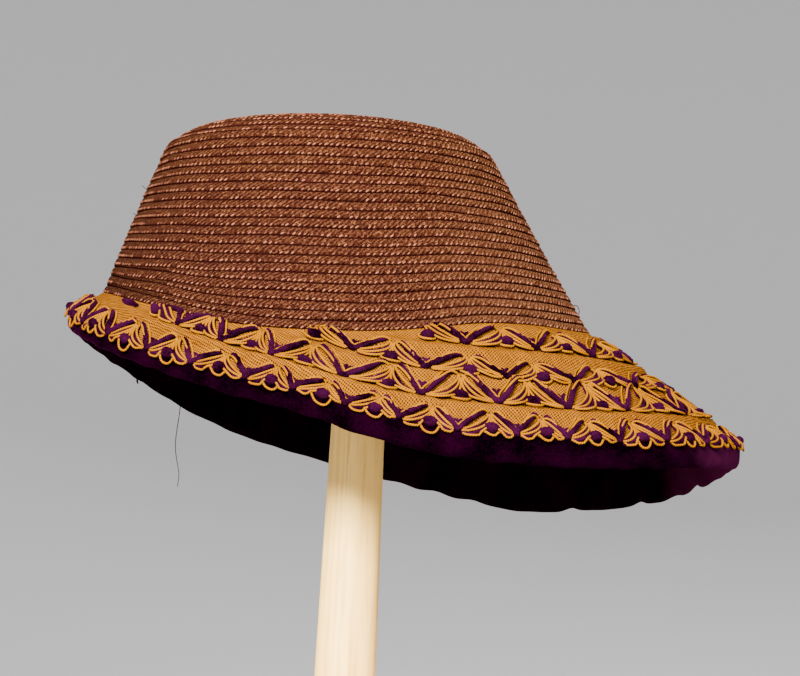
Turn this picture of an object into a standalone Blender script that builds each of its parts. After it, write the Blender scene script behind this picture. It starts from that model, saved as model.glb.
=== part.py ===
"""A straw bonnet with a tiered, trimmed brim and a gathered lining, on a plain wooden stand.

Metres, +Z up. The pole's axis is at x = y = 0, its foot stands on z = 0, and the
bonnet's front faces +X.
"""
import math

import bmesh
import bpy
from mathutils import Vector

# Common
GAP = 0.0003
SEGMENTS = 36
BRIM_HEIGHT = 0.200

# Crown
BASE_CENTRE = -0.0077
BASE_LENGTH = 0.2160
BASE_WIDTH = 0.1720
TOP_CENTRE = -0.0190
TOP_LENGTH = 0.1452
TOP_WIDTH = 0.1168
TOP_HEIGHT = 0.0815
TOP_TILT = 0.0011
DOME_RISE = 0.0127
BASE_LOW = -0.0078
BASE_RISE = 0.0211
WALL_BOW = 0.0005
WALL = 0.0032
RIB = 0.0012
WALL_ROWS = 22
GROOVE_SHARE = 0.14
WEDGE_ROWS = (16, 18, 20)
WEDGE_SHARE = 0.22
WEDGE_FROM = 20.0
WEDGE_TO = 80.0
INNER_RINGS = 5

# Brim
BRIM_FRONT = 0.0703
BRIM_BACK = 0.0145
BRIM_SIDE = 0.0300
EDGE_SWELL_SHARE = 0.10
EDGE_LOW = -0.0503
EDGE_RISE = 0.0543
CLOTH = 0.0016
PUFF = 0.0024
PUFF_FROM_SHARE = 0.35
SMALLEST_STEP = 0.0006

# Lining
LINING = 0.0026
ROLL_OUT = 0.0022
ROLL_DEPTH = 0.0100
ROLL_HANG = 0.0080
ROLL_LEAN_SHARE = 0.40
ROLL_WIDTH = 0.0150
ROLL_SHARE = 0.55
GATHER = 0.0010
GATHERS_PER_SEGMENT = 2

# Trim
TRIM_WIDTH = 0.0130
TRIM_EDGE = 0.0011
TRIM_RIDGE = 0.0026
TRIM_STEPS = 4
TRIM_BAND_SHARE = 0.80
TRIM_WAVE_SHARE = 0.20
TRIM_SLOPE_SHARE = 0.05
TRIM_NARROWEST_SHARE = 0.50

# Stand
POLE_TOP_RADIUS = 0.0101
POLE_FOOT_RADIUS = 0.0141
POLE_FOOT = 0.006
SOCKET = 0.012
STAND_RADIUS = 0.072
STAND_THICKNESS = 0.018
STAND_ROUND = 0.003
REST_RADIUS = 0.036
REST_HEIGHT = 0.024
STAND_SIDES = 32

# Height of the crown's lower edge round the bonnet: angle from the front in degrees,
# share of BASE_RISE above BASE_LOW.
BASE_LINE = (
    (0, 0.63), (25, 0.51), (45, 0.45), (58, 0.36), (70, 0.18), (82, 0.04),
    (95, 0.00), (108, 0.03), (123, 0.19), (137, 0.46), (151, 0.69), (165, 0.88), (180, 1.00),
)

# Height of the brim's edge: angle from the front in degrees, share of EDGE_RISE above EDGE_LOW.
EDGE_LINE = (
    (0, 0.165), (14, 0.12), (38, 0.065), (58, 0.00), (72, 0.00), (80, 0.01), (88, 0.055),
    (98, 0.155), (106, 0.257), (117, 0.358), (127, 0.468), (140, 0.615), (154, 0.77),
    (165, 0.88), (180, 1.00),
)

# Profile of the crown's top: share of the top ring's radius, share of DOME_RISE.
DOME = (
    (0.965, 0.10), (0.90, 0.37), (0.80, 0.62), (0.66, 0.80), (0.48, 0.94), (0.26, 0.99),
)

# Brim cover rings, from the edge inwards: distance from the edge as a share of TRIM_WIDTH,
# height of the cloth there as a share of PUFF.
TIERS = (
    (0.00, 0.00), (0.12, 0.00), (1.12, 0.00), (1.42, 1.00), (1.73, 0.00), (2.73, 0.00),
    (2.92, 0.80), (3.12, 0.00), (4.12, 0.00), (4.31, 0.80), (4.50, 0.00), (5.50, 0.00),
    (5.80, 1.00),
)

# Trim rows: node name, index in TIERS of the row's outer side, pattern repeats all the way round.
TRIM_ROWS = (
    ("loop_trim_4", 1, 34),
    ("loop_trim_3", 4, 22),
    ("loop_trim_2", 7, 20),
    ("loop_trim_1", 10, 18),
)

# Depth of the lining's full edge: angle from the front in degrees, share of ROLL_DEPTH.
ROLL_LINE = (
    (0, 0.80), (25, 0.86), (45, 0.92), (70, 1.00), (90, 0.92), (110, 0.72), (135, 0.56),
    (160, 0.44), (180, 0.42),
)

# Extra hang of the lining's edge on the +Y side: angle from the front in degrees, share of ROLL_HANG.
HANG_LINE = (
    (0, 0.00), (20, 0.40), (45, 0.72), (62, 1.00), (76, 0.60), (92, 0.10), (110, 0.00), (180, 0.00),
)

# Lining section below the cloth's edge: share of ROLL_OUT outwards, share of ROLL_WIDTH inwards,
# share of the edge's depth down.
ROLL = (
    (0.55, 0.00, 0.00), (1.00, 0.00, 0.30), (1.00, 0.00, 0.72), (0.10, 0.00, 1.00),
    (0.00, 0.28, 0.96), (0.00, 0.65, 0.62),
)

# Colours: red, green, blue, roughness.
COLOURS = {
    "straw": (0.42, 0.20, 0.09, 0.55),
    "cloth": (0.62, 0.40, 0.18, 0.90),
    "velvet": (0.045, 0.012, 0.035, 0.95),
    "gimp": (0.66, 0.38, 0.10, 0.65),
    "wood": (0.70, 0.60, 0.47, 0.60),
}


def curve_value(table, angle):
    """Smooth value of a two-column table at an angle of either sign."""
    x = abs(math.degrees(math.atan2(math.sin(angle), math.cos(angle))))
    count = len(table)
    for i in range(count - 1):
        if x <= table[i + 1][0]:
            break
    x0, y0 = table[i]
    x1, y1 = table[i + 1]
    before = table[i - 1] if i > 0 else (2 * x0 - x1, y1)
    after = table[i + 2] if i + 2 < count else (2 * x1 - x0, y0)
    slope0 = (y1 - before[1]) / (x1 - before[0])
    slope1 = (after[1] - y0) / (after[0] - x0)
    step = x1 - x0
    t = min(max((x - x0) / step, 0.0), 1.0)
    return (
        (2 * t ** 3 - 3 * t ** 2 + 1) * y0
        + (t ** 3 - 2 * t ** 2 + t) * step * slope0
        + (-2 * t ** 3 + 3 * t ** 2) * y1
        + (t ** 3 - t ** 2) * step * slope1
    )


def smooth(low, high, x):
    t = min(max((x - low) / (high - low), 0.0), 1.0)
    return t * t * (3 - 2 * t)


def ellipse_point(centre, length, width, angle, out=0.0):
    """Point of an oval in plan, moved outwards along its own normal."""
    a = length / 2
    b = width / 2
    nx = math.cos(angle) / a
    ny = math.sin(angle) / b
    size = math.hypot(nx, ny)
    return (
        centre + a * math.cos(angle) + out * nx / size,
        b * math.sin(angle) + out * ny / size,
    )


def base_height(angle):
    return BRIM_HEIGHT + BASE_LOW + BASE_RISE * curve_value(BASE_LINE, angle)


def edge_height(angle):
    return BRIM_HEIGHT + EDGE_LOW + EDGE_RISE * curve_value(EDGE_LINE, angle)


def top_height(angle):
    return BRIM_HEIGHT + TOP_HEIGHT + TOP_TILT * math.cos(angle)


def wall_point(angle, share, out):
    """Point of the crown's wall: share 0 at the top ring, 1 at the lower edge."""
    bow = -WALL_BOW * math.cos(angle) * math.sin(math.pi * share)
    x0, y0 = ellipse_point(TOP_CENTRE, TOP_LENGTH, TOP_WIDTH, angle, out + bow)
    x1, y1 = ellipse_point(BASE_CENTRE, BASE_LENGTH, BASE_WIDTH, angle, out + bow)
    z0 = top_height(angle)
    z1 = base_height(angle)
    return Vector((x0 + (x1 - x0) * share, y0 + (y1 - y0) * share, z0 + (z1 - z0) * share))


def dome_point(angle, radius, rise, down):
    x, y = ellipse_point(0.0, TOP_LENGTH, TOP_WIDTH, angle, -down)
    z = BRIM_HEIGHT + TOP_HEIGHT + TOP_TILT * math.cos(angle) * radius + DOME_RISE * rise - down
    return Vector((TOP_CENTRE + x * radius, y * radius, z))


def row_edges(angle):
    """Shares of the wall at which the braid rows meet, for one angle from the front."""
    away_from_back = 180.0 - abs(math.degrees(math.atan2(math.sin(angle), math.cos(angle))))
    opened = WEDGE_SHARE + (1 - WEDGE_SHARE) * smooth(WEDGE_FROM, WEDGE_TO, away_from_back)
    weights = [opened if row in WEDGE_ROWS else 1.0 for row in range(WALL_ROWS)]
    total = sum(weights)
    edges = [0.0]
    for weight in weights:
        edges.append(edges[-1] + weight / total)
    return edges, weights


def angles(count):
    return [2 * math.pi * i / count for i in range(count)]


def new_object(name, mesh_data, slot):
    mesh = bpy.data.meshes.new(name)
    mesh_data.to_mesh(mesh)
    mesh_data.free()
    part = bpy.data.objects.new(name, mesh)
    bpy.context.collection.objects.link(part)
    red, green, blue, roughness = COLOURS[slot]
    material = bpy.data.materials.get(slot)
    if material is None:
        material = bpy.data.materials.new(slot)
        material.use_nodes = True
        shader = material.node_tree.nodes["Principled BSDF"]
        shader.inputs["Base Color"].default_value = (red, green, blue, 1.0)
        shader.inputs["Roughness"].default_value = roughness
        shader.inputs["Metallic"].default_value = 0.0
        material.diffuse_color = (red, green, blue, 1.0)
    mesh.materials.append(material)
    return part


def loft(sections, closed_round, slot, name):
    """Body from closed sections of equal length; its ends are filled unless it is a ring."""
    bm = bmesh.new()
    rows = [[bm.verts.new(point) for point in section] for section in sections]
    count = len(rows)
    size = len(rows[0])
    for i in range(count if closed_round else count - 1):
        here = rows[i]
        there = rows[(i + 1) % count]
        for j in range(size):
            k = (j + 1) % size
            bm.faces.new((here[j], here[k], there[k], there[j]))
    if not closed_round:
        bm.faces.new(rows[0])
        bm.faces.new(list(reversed(rows[-1])))
    bmesh.ops.recalc_face_normals(bm, faces=bm.faces)
    return new_object(name, bm, slot)


def shell(outer, outer_tip, inner, inner_tip, slot, name):
    """Cap-shaped body: outer rings from the top down, inner rings from the bottom up."""
    bm = bmesh.new()
    rings = [[bm.verts.new(point) for point in ring] for ring in outer + inner]
    size = len(rings[0])
    for here, there in zip(rings, rings[1:]):
        for j in range(size):
            k = (j + 1) % size
            bm.faces.new((here[j], there[j], there[k], here[k]))
    for ring, tip, flip in ((rings[0], outer_tip, False), (rings[-1], inner_tip, True)):
        point = bm.verts.new(tip)
        for j in range(size):
            k = (j + 1) % size
            face = (point, ring[k], ring[j]) if flip else (point, ring[j], ring[k])
            bm.faces.new(face)
    bmesh.ops.recalc_face_normals(bm, faces=bm.faces)
    return new_object(name, bm, slot)


def lathe(profile, slot, name):
    """Turned body: profile of (radius, height) pairs, first and last on the axis."""
    bm = bmesh.new()
    turn = angles(STAND_SIDES)
    rings = []
    for radius, height in profile[1:-1]:
        ring = [Vector((radius * math.cos(a), radius * math.sin(a), height)) for a in turn]
        rings.append([bm.verts.new(point) for point in ring])
    for here, there in zip(rings, rings[1:]):
        for j in range(STAND_SIDES):
            k = (j + 1) % STAND_SIDES
            bm.faces.new((here[j], here[k], there[k], there[j]))
    for ring, height in ((rings[0], profile[0][1]), (rings[-1], profile[-1][1])):
        tip = bm.verts.new((0.0, 0.0, height))
        for j in range(STAND_SIDES):
            bm.faces.new((tip, ring[j], ring[(j + 1) % STAND_SIDES]))
    bmesh.ops.recalc_face_normals(bm, faces=bm.faces)
    return new_object(name, bm, slot)


def build_crown():
    turn = angles(SEGMENTS)
    outer = []
    for radius, rise in reversed(DOME):
        outer.append([dome_point(a, radius, rise, 0.0) for a in turn])
    edges = [row_edges(a) for a in turn]
    for row in range(WALL_ROWS):
        groove = []
        bead = []
        for a, (shares, weights) in zip(turn, edges):
            width = shares[row + 1] - shares[row]
            depth = RIB * weights[row]
            low = 1.0 if row == WALL_ROWS - 1 else 1.0 - GROOVE_SHARE
            groove.append(wall_point(a, shares[row] + GROOVE_SHARE * width, -depth))
            bead.append(wall_point(a, shares[row] + low * width, 0.0))
        if row > 0:
            outer.append(groove)
        outer.append(bead)
    inner = []
    for i in range(INNER_RINGS, -1, -1):
        inner.append([wall_point(a, i / INNER_RINGS, -WALL) for a in turn])
    for radius, rise in DOME:
        inner.append([dome_point(a, radius, rise, WALL) for a in turn])
    tip = Vector((TOP_CENTRE, 0.0, BRIM_HEIGHT + TOP_HEIGHT + DOME_RISE))
    low_tip = tip - Vector((0.0, 0.0, WALL))
    shell(outer, tip, inner, low_tip, "straw", "straw_crown")


def brim_line(angle):
    """Where the cloth starts by the crown and ends at the edge, and its length down the slope."""
    x0, y0 = ellipse_point(BASE_CENTRE, BASE_LENGTH, BASE_WIDTH, angle, GAP)
    swell = 1 + EDGE_SWELL_SHARE * math.cos(angle)
    centre = BASE_CENTRE + (BRIM_FRONT - BRIM_BACK) / 2
    edge_length = BASE_LENGTH + BRIM_FRONT + BRIM_BACK
    edge_width = (BASE_WIDTH + 2 * BRIM_SIDE) * swell
    x1, y1 = ellipse_point(centre, edge_length, edge_width, angle)
    start = Vector((x0, y0, base_height(angle) - GAP))
    end = Vector((x1, y1, edge_height(angle)))
    return start, end, (end - start).length


def brim_normal(angle, share):
    """Upward normal of the plain slope, before the cloth is puffed."""
    small = 0.01
    start, end, length = brim_line(angle)
    after = brim_line(angle + small)
    before = brim_line(angle - small)
    there = after[0].lerp(after[1], share)
    here = before[0].lerp(before[1], share)
    normal = (end - start).cross(there - here).normalized()
    return normal if normal.z > 0 else -normal


def tier_distances(length):
    """Distances of the cover's rings from the edge, drawn together where the brim is narrow."""
    count = len(TIERS)
    found = []
    for i, (share, rise) in enumerate(TIERS):
        found.append(min(share * TRIM_WIDTH, length - SMALLEST_STEP * (count - i)))
    return found


def cover_rows(angle):
    """Top points of the cover from its edge to the crown, and the slope's normals there."""
    start, end, length = brim_line(angle)
    distances = tier_distances(length) + [length]
    points = []
    normals = []
    for i, distance in enumerate(distances):
        share = 1 - distance / length
        normal = brim_normal(angle, share)
        rise = 0.0
        if 0 < i < len(TIERS) and TIERS[i][1] > 0:
            spread = distances[i + 1] - distances[i - 1]
            plain = (TIERS[i][0] - TIERS[i - 1][0]) * 2 * TRIM_WIDTH
            rise = PUFF * TIERS[i][1] * smooth(PUFF_FROM_SHARE, 1.0, spread / plain)
        points.append(start.lerp(end, share) + normal * rise)
        normals.append(normal)
    return points, normals


def cover_underside(angle, drop):
    """Points below the cover: at the edge, mid slope, by the crown and inside it."""
    start, end, length = brim_line(angle)
    points = []
    for share in (1.0, 0.5, 0.0):
        points.append(start.lerp(end, share) - brim_normal(angle, share) * drop)
    x, y = ellipse_point(BASE_CENTRE, BASE_LENGTH, BASE_WIDTH, angle, -WALL)
    points.append(Vector((x, y, base_height(angle) - GAP - drop)))
    return points


def build_cover():
    sections = []
    for a in angles(SEGMENTS):
        top = cover_rows(a)[0]
        x, y = ellipse_point(BASE_CENTRE, BASE_LENGTH, BASE_WIDTH, a, -WALL)
        inside = Vector((x, y, base_height(a) - GAP))
        sections.append(top + [inside] + list(reversed(cover_underside(a, CLOTH))))
    loft(sections, True, "cloth", "brim_cover")


def build_lining():
    """Lining below the cover, with a full edge and a gather at every other step round."""
    turn = angles(SEGMENTS)
    sections = []
    for i in range(SEGMENTS):
        for step in range(GATHERS_PER_SEGMENT):
            part = step / GATHERS_PER_SEGMENT
            a0 = turn[i]
            a1 = turn[i] + 2 * math.pi / SEGMENTS
            upper = [
                p.lerp(q, part)
                for p, q in zip(cover_underside(a0, CLOTH + GAP), cover_underside(a1, CLOTH + GAP))
            ]
            angle = a0 + (a1 - a0) * part
            start, end, length = brim_line(angle)
            normal = brim_normal(angle, 1.0)
            outwards = (end - start).normalized()
            full = GATHER if step % 2 else 0.0
            width = min(ROLL_WIDTH, ROLL_SHARE * length / ROLL[-1][1])
            section = list(reversed(upper))
            fall = (normal * ROLL_LEAN_SHARE + Vector((0.0, 0.0, 1.0 - ROLL_LEAN_SHARE))).normalized()
            deep = ROLL_DEPTH * curve_value(ROLL_LINE, angle)
            if math.sin(angle) > 0:
                deep += ROLL_HANG * curve_value(HANG_LINE, angle)
            for out, inwards, down in ROLL:
                reach = out * (ROLL_OUT + full * 0.5) - inwards * width
                depth = down * (deep + full)
                section.append(upper[0] + outwards * reach - fall * depth)
            thick = LINING + full
            section.append(upper[1] - brim_normal(angle, 0.5) * thick)
            section.append(upper[2] - brim_normal(angle, 0.0) * LINING)
            section.append(upper[3] - Vector((0.0, 0.0, LINING)))
            sections.append(section)
    loft(sections, True, "velvet", "velvet_facing")


def build_trim(name, outer_index, repeats):
    """A flat band that lies on the cover, scalloped, with a zigzag ridge along it."""
    turn = angles(SEGMENTS)
    lines = []
    for a in turn:
        points, normals = cover_rows(a)
        outer = points[outer_index]
        inner = points[outer_index + 1]
        lines.append((outer, inner, normals[outer_index], (inner - outer).length))
    half = SEGMENTS // 2
    reach = 0
    while reach < half and lines[reach + 1][3] > TRIM_NARROWEST_SHARE * TRIM_WIDTH:
        reach += 1
    whole = reach == half
    first = -half if whole else -reach
    last = half if whole else reach
    sections = []
    total = (last - first) * TRIM_STEPS
    for step in range(total + (0 if whole else 1)):
        i = first + step // TRIM_STEPS
        part = (step % TRIM_STEPS) / TRIM_STEPS
        outer0, inner0, normal0, width0 = lines[i % SEGMENTS]
        outer1, inner1, normal1, width1 = lines[(i + 1) % SEGMENTS]
        outer = outer0.lerp(outer1, part)
        inner = inner0.lerp(inner1, part)
        normal = normal0.lerp(normal1, part).normalized()
        turned = (first + step / TRIM_STEPS) / SEGMENTS
        wave = math.cos(2 * math.pi * repeats * turned)
        shift = TRIM_WAVE_SHARE * wave
        low_side = 0.5 - 0.5 * (TRIM_BAND_SHARE - shift)
        high_side = 0.5 + 0.5 * (TRIM_BAND_SHARE + shift)
        middle = 0.5 + shift
        section = []
        for across, height in (
            (low_side, 0.0),
            (high_side, 0.0),
            (high_side - TRIM_SLOPE_SHARE, TRIM_EDGE),
            (middle, TRIM_RIDGE * (0.86 + 0.14 * wave)),
            (low_side + TRIM_SLOPE_SHARE, TRIM_EDGE),
        ):
            section.append(outer.lerp(inner, across) + normal * (GAP + height))
        sections.append(section)
    loft(sections, whole, "gimp", name)


def pole_radius(height):
    taper = (POLE_TOP_RADIUS - POLE_FOOT_RADIUS) / (BRIM_HEIGHT + TOP_HEIGHT)
    return POLE_FOOT_RADIUS + taper * height


def rest_top():
    """Height of the rest's crown, just below the inside of the bonnet's top at the pole's axis."""
    inside = BRIM_HEIGHT + TOP_HEIGHT - WALL
    x = abs(TOP_CENTRE) / (TOP_LENGTH / 2)
    rise = 0.0
    for (r0, h0), (r1, h1) in zip(((0.0, 1.0),) + tuple(reversed(DOME)), reversed(DOME)):
        if r0 <= x <= r1:
            rise = h0 + (h1 - h0) * (x - r0) / (r1 - r0)
    return inside + DOME_RISE * rise


def build_stand():
    foot = pole_radius(POLE_FOOT)
    mouth = pole_radius(STAND_THICKNESS)
    lathe(
        [
            (0.0, 0.0),
            (STAND_RADIUS - STAND_ROUND * 0.4, 0.0),
            (STAND_RADIUS, STAND_ROUND * 0.5),
            (STAND_RADIUS, STAND_THICKNESS - STAND_ROUND),
            (STAND_RADIUS - STAND_ROUND * 0.4, STAND_THICKNESS - STAND_ROUND * 0.35),
            (STAND_RADIUS - STAND_ROUND, STAND_THICKNESS),
            (mouth + GAP, STAND_THICKNESS),
            (foot + GAP, POLE_FOOT - GAP),
            (0.0, POLE_FOOT - GAP),
        ],
        "wood",
        "stand_base",
    )
    top = rest_top() - GAP
    low = top - REST_HEIGHT
    pole_top = low + SOCKET
    neck = pole_radius(low)
    head = pole_radius(pole_top)
    lathe(
        [
            (0.0, POLE_FOOT),
            (foot, POLE_FOOT),
            (head, pole_top),
            (0.0, pole_top),
        ],
        "wood",
        "stand_pole",
    )
    lathe(
        [
            (0.0, pole_top + GAP),
            (head + GAP, pole_top + GAP),
            (neck + GAP, low),
            (REST_RADIUS * 0.70, low),
            (REST_RADIUS * 0.93, low + REST_HEIGHT * 0.18),
            (REST_RADIUS, low + REST_HEIGHT * 0.42),
            (REST_RADIUS * 0.94, low + REST_HEIGHT * 0.66),
            (REST_RADIUS * 0.74, low + REST_HEIGHT * 0.86),
            (REST_RADIUS * 0.42, low + REST_HEIGHT * 0.97),
            (0.0, top),
        ],
        "wood",
        "stand_head",
    )


for thing in list(bpy.data.objects):
    bpy.data.objects.remove(thing, do_unlink=True)

build_crown()
build_cover()
build_lining()
for row_name, outer_side, row_repeats in TRIM_ROWS:
    build_trim(row_name, outer_side, row_repeats)
build_stand()
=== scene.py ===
"""The look of a straw bonnet with a tiered, trimmed brim and gathered velvet lining, on its stand.

Metres, +Z up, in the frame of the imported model: the pole stands at x = y = 0 and the
bonnet's front faces +X. Angles round the bonnet start at the front.
"""

import math

import bpy
import numpy as np
from mathutils import Matrix, Vector


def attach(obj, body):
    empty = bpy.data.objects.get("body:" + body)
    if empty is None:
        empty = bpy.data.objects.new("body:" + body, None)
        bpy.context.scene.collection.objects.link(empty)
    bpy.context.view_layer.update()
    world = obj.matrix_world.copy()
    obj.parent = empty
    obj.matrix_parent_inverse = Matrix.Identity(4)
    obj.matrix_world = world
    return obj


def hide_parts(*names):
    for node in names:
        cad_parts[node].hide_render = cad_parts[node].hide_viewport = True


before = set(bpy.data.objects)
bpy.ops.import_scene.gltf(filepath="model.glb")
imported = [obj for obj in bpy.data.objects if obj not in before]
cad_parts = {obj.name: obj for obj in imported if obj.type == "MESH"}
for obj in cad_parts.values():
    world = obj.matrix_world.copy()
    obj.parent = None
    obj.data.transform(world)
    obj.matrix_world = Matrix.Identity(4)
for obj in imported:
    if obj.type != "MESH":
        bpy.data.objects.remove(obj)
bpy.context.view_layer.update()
MM = 0.001

# Sizes of the solids in metres; only BRIM_FRONT is 2.3 mm less than theirs.
GAP = 0.0003
BRIM_HEIGHT = 0.200
BASE_CENTRE, BASE_LENGTH, BASE_WIDTH = -0.0077, 0.2160, 0.1720
TOP_CENTRE, TOP_LENGTH, TOP_WIDTH = -0.0190, 0.1452, 0.1168
TOP_HEIGHT, TOP_TILT, DOME_RISE = 0.0815, 0.0011, 0.0127
BASE_LOW, BASE_RISE = -0.0078, 0.0211
WALL_BOW, WALL = 0.0005, 0.0032
WALL_ROWS = 22
WEDGE_ROWS = (16, 18, 20)
WEDGE_SHARE, WEDGE_FROM, WEDGE_TO = 0.22, 20.0, 80.0
BRIM_FRONT, BRIM_BACK, BRIM_SIDE = 0.0680, 0.0145, 0.0300
EDGE_SWELL_SHARE = 0.10
EDGE_LOW, EDGE_RISE = -0.0503, 0.0543
CLOTH, PUFF = 0.0016, 0.0024
LINING = 0.0026
ROLL_OUT, ROLL_DEPTH, ROLL_HANG = 0.0022, 0.0100, 0.0080
ROLL_LEAN_SHARE, ROLL_WIDTH, ROLL_SHARE = 0.40, 0.0150, 0.55
TRIM_WIDTH = 0.0130
POLE_TOP_RADIUS, POLE_FOOT_RADIUS = 0.0101, 0.0141
POLE_FOOT, SOCKET = 0.006, 0.012
STAND_RADIUS, STAND_THICKNESS, STAND_ROUND = 0.072, 0.018, 0.003
REST_RADIUS, REST_HEIGHT = 0.036, 0.024

# Angle from the front in degrees, share of BASE_RISE.
BASE_LINE = (
    (0, 0.63), (25, 0.51), (45, 0.45), (58, 0.36), (70, 0.18), (82, 0.04),
    (95, 0.00), (108, 0.03), (123, 0.19), (137, 0.46), (151, 0.69), (165, 0.88), (180, 1.00),
)
# Angle from the front in degrees, share of EDGE_RISE.
EDGE_LINE = (
    (0, 0.165), (14, 0.12), (38, 0.065), (58, 0.00), (72, 0.00), (80, 0.01), (88, 0.055),
    (98, 0.155), (106, 0.257), (117, 0.358), (127, 0.468), (140, 0.615), (154, 0.77),
    (165, 0.88), (180, 1.00),
)
# Share of the top ring's radius, share of DOME_RISE.
DOME_LINE = (
    (0.0, 1.00), (0.26, 0.99), (0.48, 0.94), (0.66, 0.80), (0.80, 0.62), (0.90, 0.37),
    (0.965, 0.10), (1.0, 0.0),
)
# Angle from the front in degrees, share of ROLL_DEPTH.
ROLL_LINE = (
    (0, 0.80), (25, 0.86), (45, 0.92), (70, 1.00), (90, 0.92), (110, 0.72), (135, 0.56),
    (160, 0.44), (180, 0.42),
)
# Angle from the front in degrees, share of ROLL_HANG, on the +Y side.
HANG_LINE = (
    (0, 0.05), (20, 0.48), (36, 1.12), (48, 1.16), (62, 1.12), (70, 0.96), (76, 0.55), (84, 0.28),
    (92, 0.22), (106, 0.56), (122, 0.64), (134, 0.46), (144, 0.04), (153, -0.25), (166, -0.25),
    (180, 0.00),
)

# Straw braid
BRAID_STEPS = 360
DOME_ROWS = 16
# Across one row: share of its width, height over the solid's surface in mm.
BRAID_SECTION = (
    (0.00, -0.90), (0.14, -0.30), (0.40, 0.12), (0.68, 0.20), (0.90, 0.00), (1.00, -0.50),
)
# Which of its points stand in the row's middle and at its lower edge.
MIDDLE_POINT, EDGE_POINT = 2, 4
BEAD_LENGTH, BEAD_WIDTH, BEAD_PITCH = 1.95 * MM, 0.85 * MM, 2.45 * MM
BEAD_LEAN = math.radians(36)
# The plait's pitch, and mm across a row without and with the step down to the next.
STRAW_PITCH, ROW_WIDTH, ROW_LIP = 2.45, 4.0, 4.3

# Cover cloth and lining
COVER_STEPS, COVER_COLUMNS = 480, 64
THREAD_PITCH, WEAVE_ANGLE = 1.0 * MM, math.radians(-62)
CREASE = 0.10 * MM
LINING_STEPS, LINING_FOLDS = 540, 84
# Notches along the far side of the lining's roll: angle in degrees, share of its depth.
NOTCHES = ((12, 0.10), (21, 0.16), (38, 0.13), (55, 0.14))
# Puffs between the trim rows: distance from the edge in TRIM_WIDTHs, share of PUFF, reach in mm.
PUFFS = ((1.25, 1.0, 6.5), (2.85, 0.5, 4.0), (4.20, 0.9, 6.0), (5.80, 1.0, 6.0))

# Trim
# Row: number, its middle as angles in degrees with mm from the edge, how tall it is beside the
# plain motif, first and last angle, then the angles of its valleys, from the near side round the
# front to the far side.
TRIM_ROWS = (
    (1, ((0, 66.0),), 1.0, (-75.0, 75.0), (-66, -50.5, -34, -8, 16, 36, 52, 66)),
    (
        2, ((-98, 49.5), (-88, 48.0), (-78, 45.0), (-64, 42.8), (-40, 42.5), (0, 44.0)), 0.92,
        (-98.0, 98.0), (-90.5, -78.5, -64.5, -50.5, -34, -6, 20, 40, 56, 70, 83, 93),
    ),
    (3, ((0, 27.8),), 1.38, (-135.0, 134.0), (
        -128.5, -118, -108, -95.5, -83, -70, -57.5, -44.5, -25.5, -2, 20, 38, 52, 65, 78, 91,
        103, 114, 124,
    )),
    (4, ((0, 6.0),), 0.92, None, (
        -169.5, -158.5, -147.5, -136, -126, -115.5, -107.5, -99, -90.5, -81.5, -72, -63.5,
        -53.5, -43, -31.5, -16, 0, 15, 29, 41, 51.5, 61.5, 71, 80, 89, 98, 107, 116, 126, 137,
        149, 160, 170.5, 180, 190.5,
    )),
)
# One side of a motif, from its peak at 0 to its valley at 1: share of the way to the valley, mm
# towards the crown from the row's middle. Four cords, lowest first, each by four handles.
LEFT_WING = (
    ((0.02, 5.0), (-0.08, -3.6), (0.40, -10.4), (0.84, -6.4)),
    ((0.05, 5.6), (-0.02, -0.8), (0.44, -7.6), (0.87, -5.6)),
    ((0.08, 6.0), (0.08, 2.0), (0.50, -4.8), (0.90, -4.8)),
    ((0.10, 6.4), (0.30, 7.6), (0.66, 3.6), (0.92, -3.9)),
)
RIGHT_WING = (
    ((0.02, 5.0), (-0.03, -2.8), (0.36, -9.4), (0.84, -6.4)),
    ((0.05, 5.6), (0.04, 0.0), (0.41, -6.7), (0.87, -5.6)),
    ((0.08, 6.0), (0.14, 2.8), (0.47, -3.8), (0.90, -4.8)),
    ((0.11, 6.4), (0.26, 6.4), (0.58, 1.4), (0.92, -3.9)),
)
# Blob of chenille and loop of gold cord under a peak: shares of 3 mm sideways (of 2.25 mm for the
# blob), mm towards the crown, mm over the cloth; and the blob's width along it.
BLOB = ((-0.85, -2.6, 1.2), (-0.3, -4.0, 1.9), (0.35, -4.3, 1.9), (0.95, -3.2, 1.2))
LOOP = (
    (-0.95, -2.6, 0.7), (-1.02, -5.0, 1.2), (-0.52, -7.2, 1.5), (0.38, -7.5, 1.5),
    (0.98, -5.6, 1.0), (0.95, -3.6, 0.6),
)
BLOB_WIDTH = ((0, 0.9), (0.25, 1.7), (0.5, 2.0), (0.75, 1.7), (1, 0.9))
# Purple strand and fine gold line of one valley: the side (0 in the valley), the share of the way
# from the peak to the valley, mm towards the crown.
STRAND = (
    (-1, 0.16, 7.2), (-1, 0.36, 5.2), (-1, 0.64, 0.6), (-1, 0.90, -4.0), (0, 1.00, -5.6),
    (1, 0.90, -4.0), (1, 0.62, 1.4), (1, 0.36, 5.8), (1, 0.16, 7.3),
)
FINE_LINE = (
    (-1, 0.42, 7.6), (-1, 0.70, 3.2), (-1, 0.92, -1.4), (0, 1.00, -3.4), (1, 0.92, -1.2),
    (1, 0.70, 3.6), (1, 0.44, 8.0),
)
GOLD_RADIUS, FINE_RADIUS, CHENILLE_RADIUS = 0.50 * MM, 0.42 * MM, 1.15 * MM
UNDER_RADIUS = 0.75 * MM
# Gold cord's twist in mm; the brim's mean radius in mm; mm under a row's middle to its valleys.
TWIST_PITCH, MEAN_RADIUS, VALLEY_DROP = 1.1, 104.0, 6.0

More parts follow.
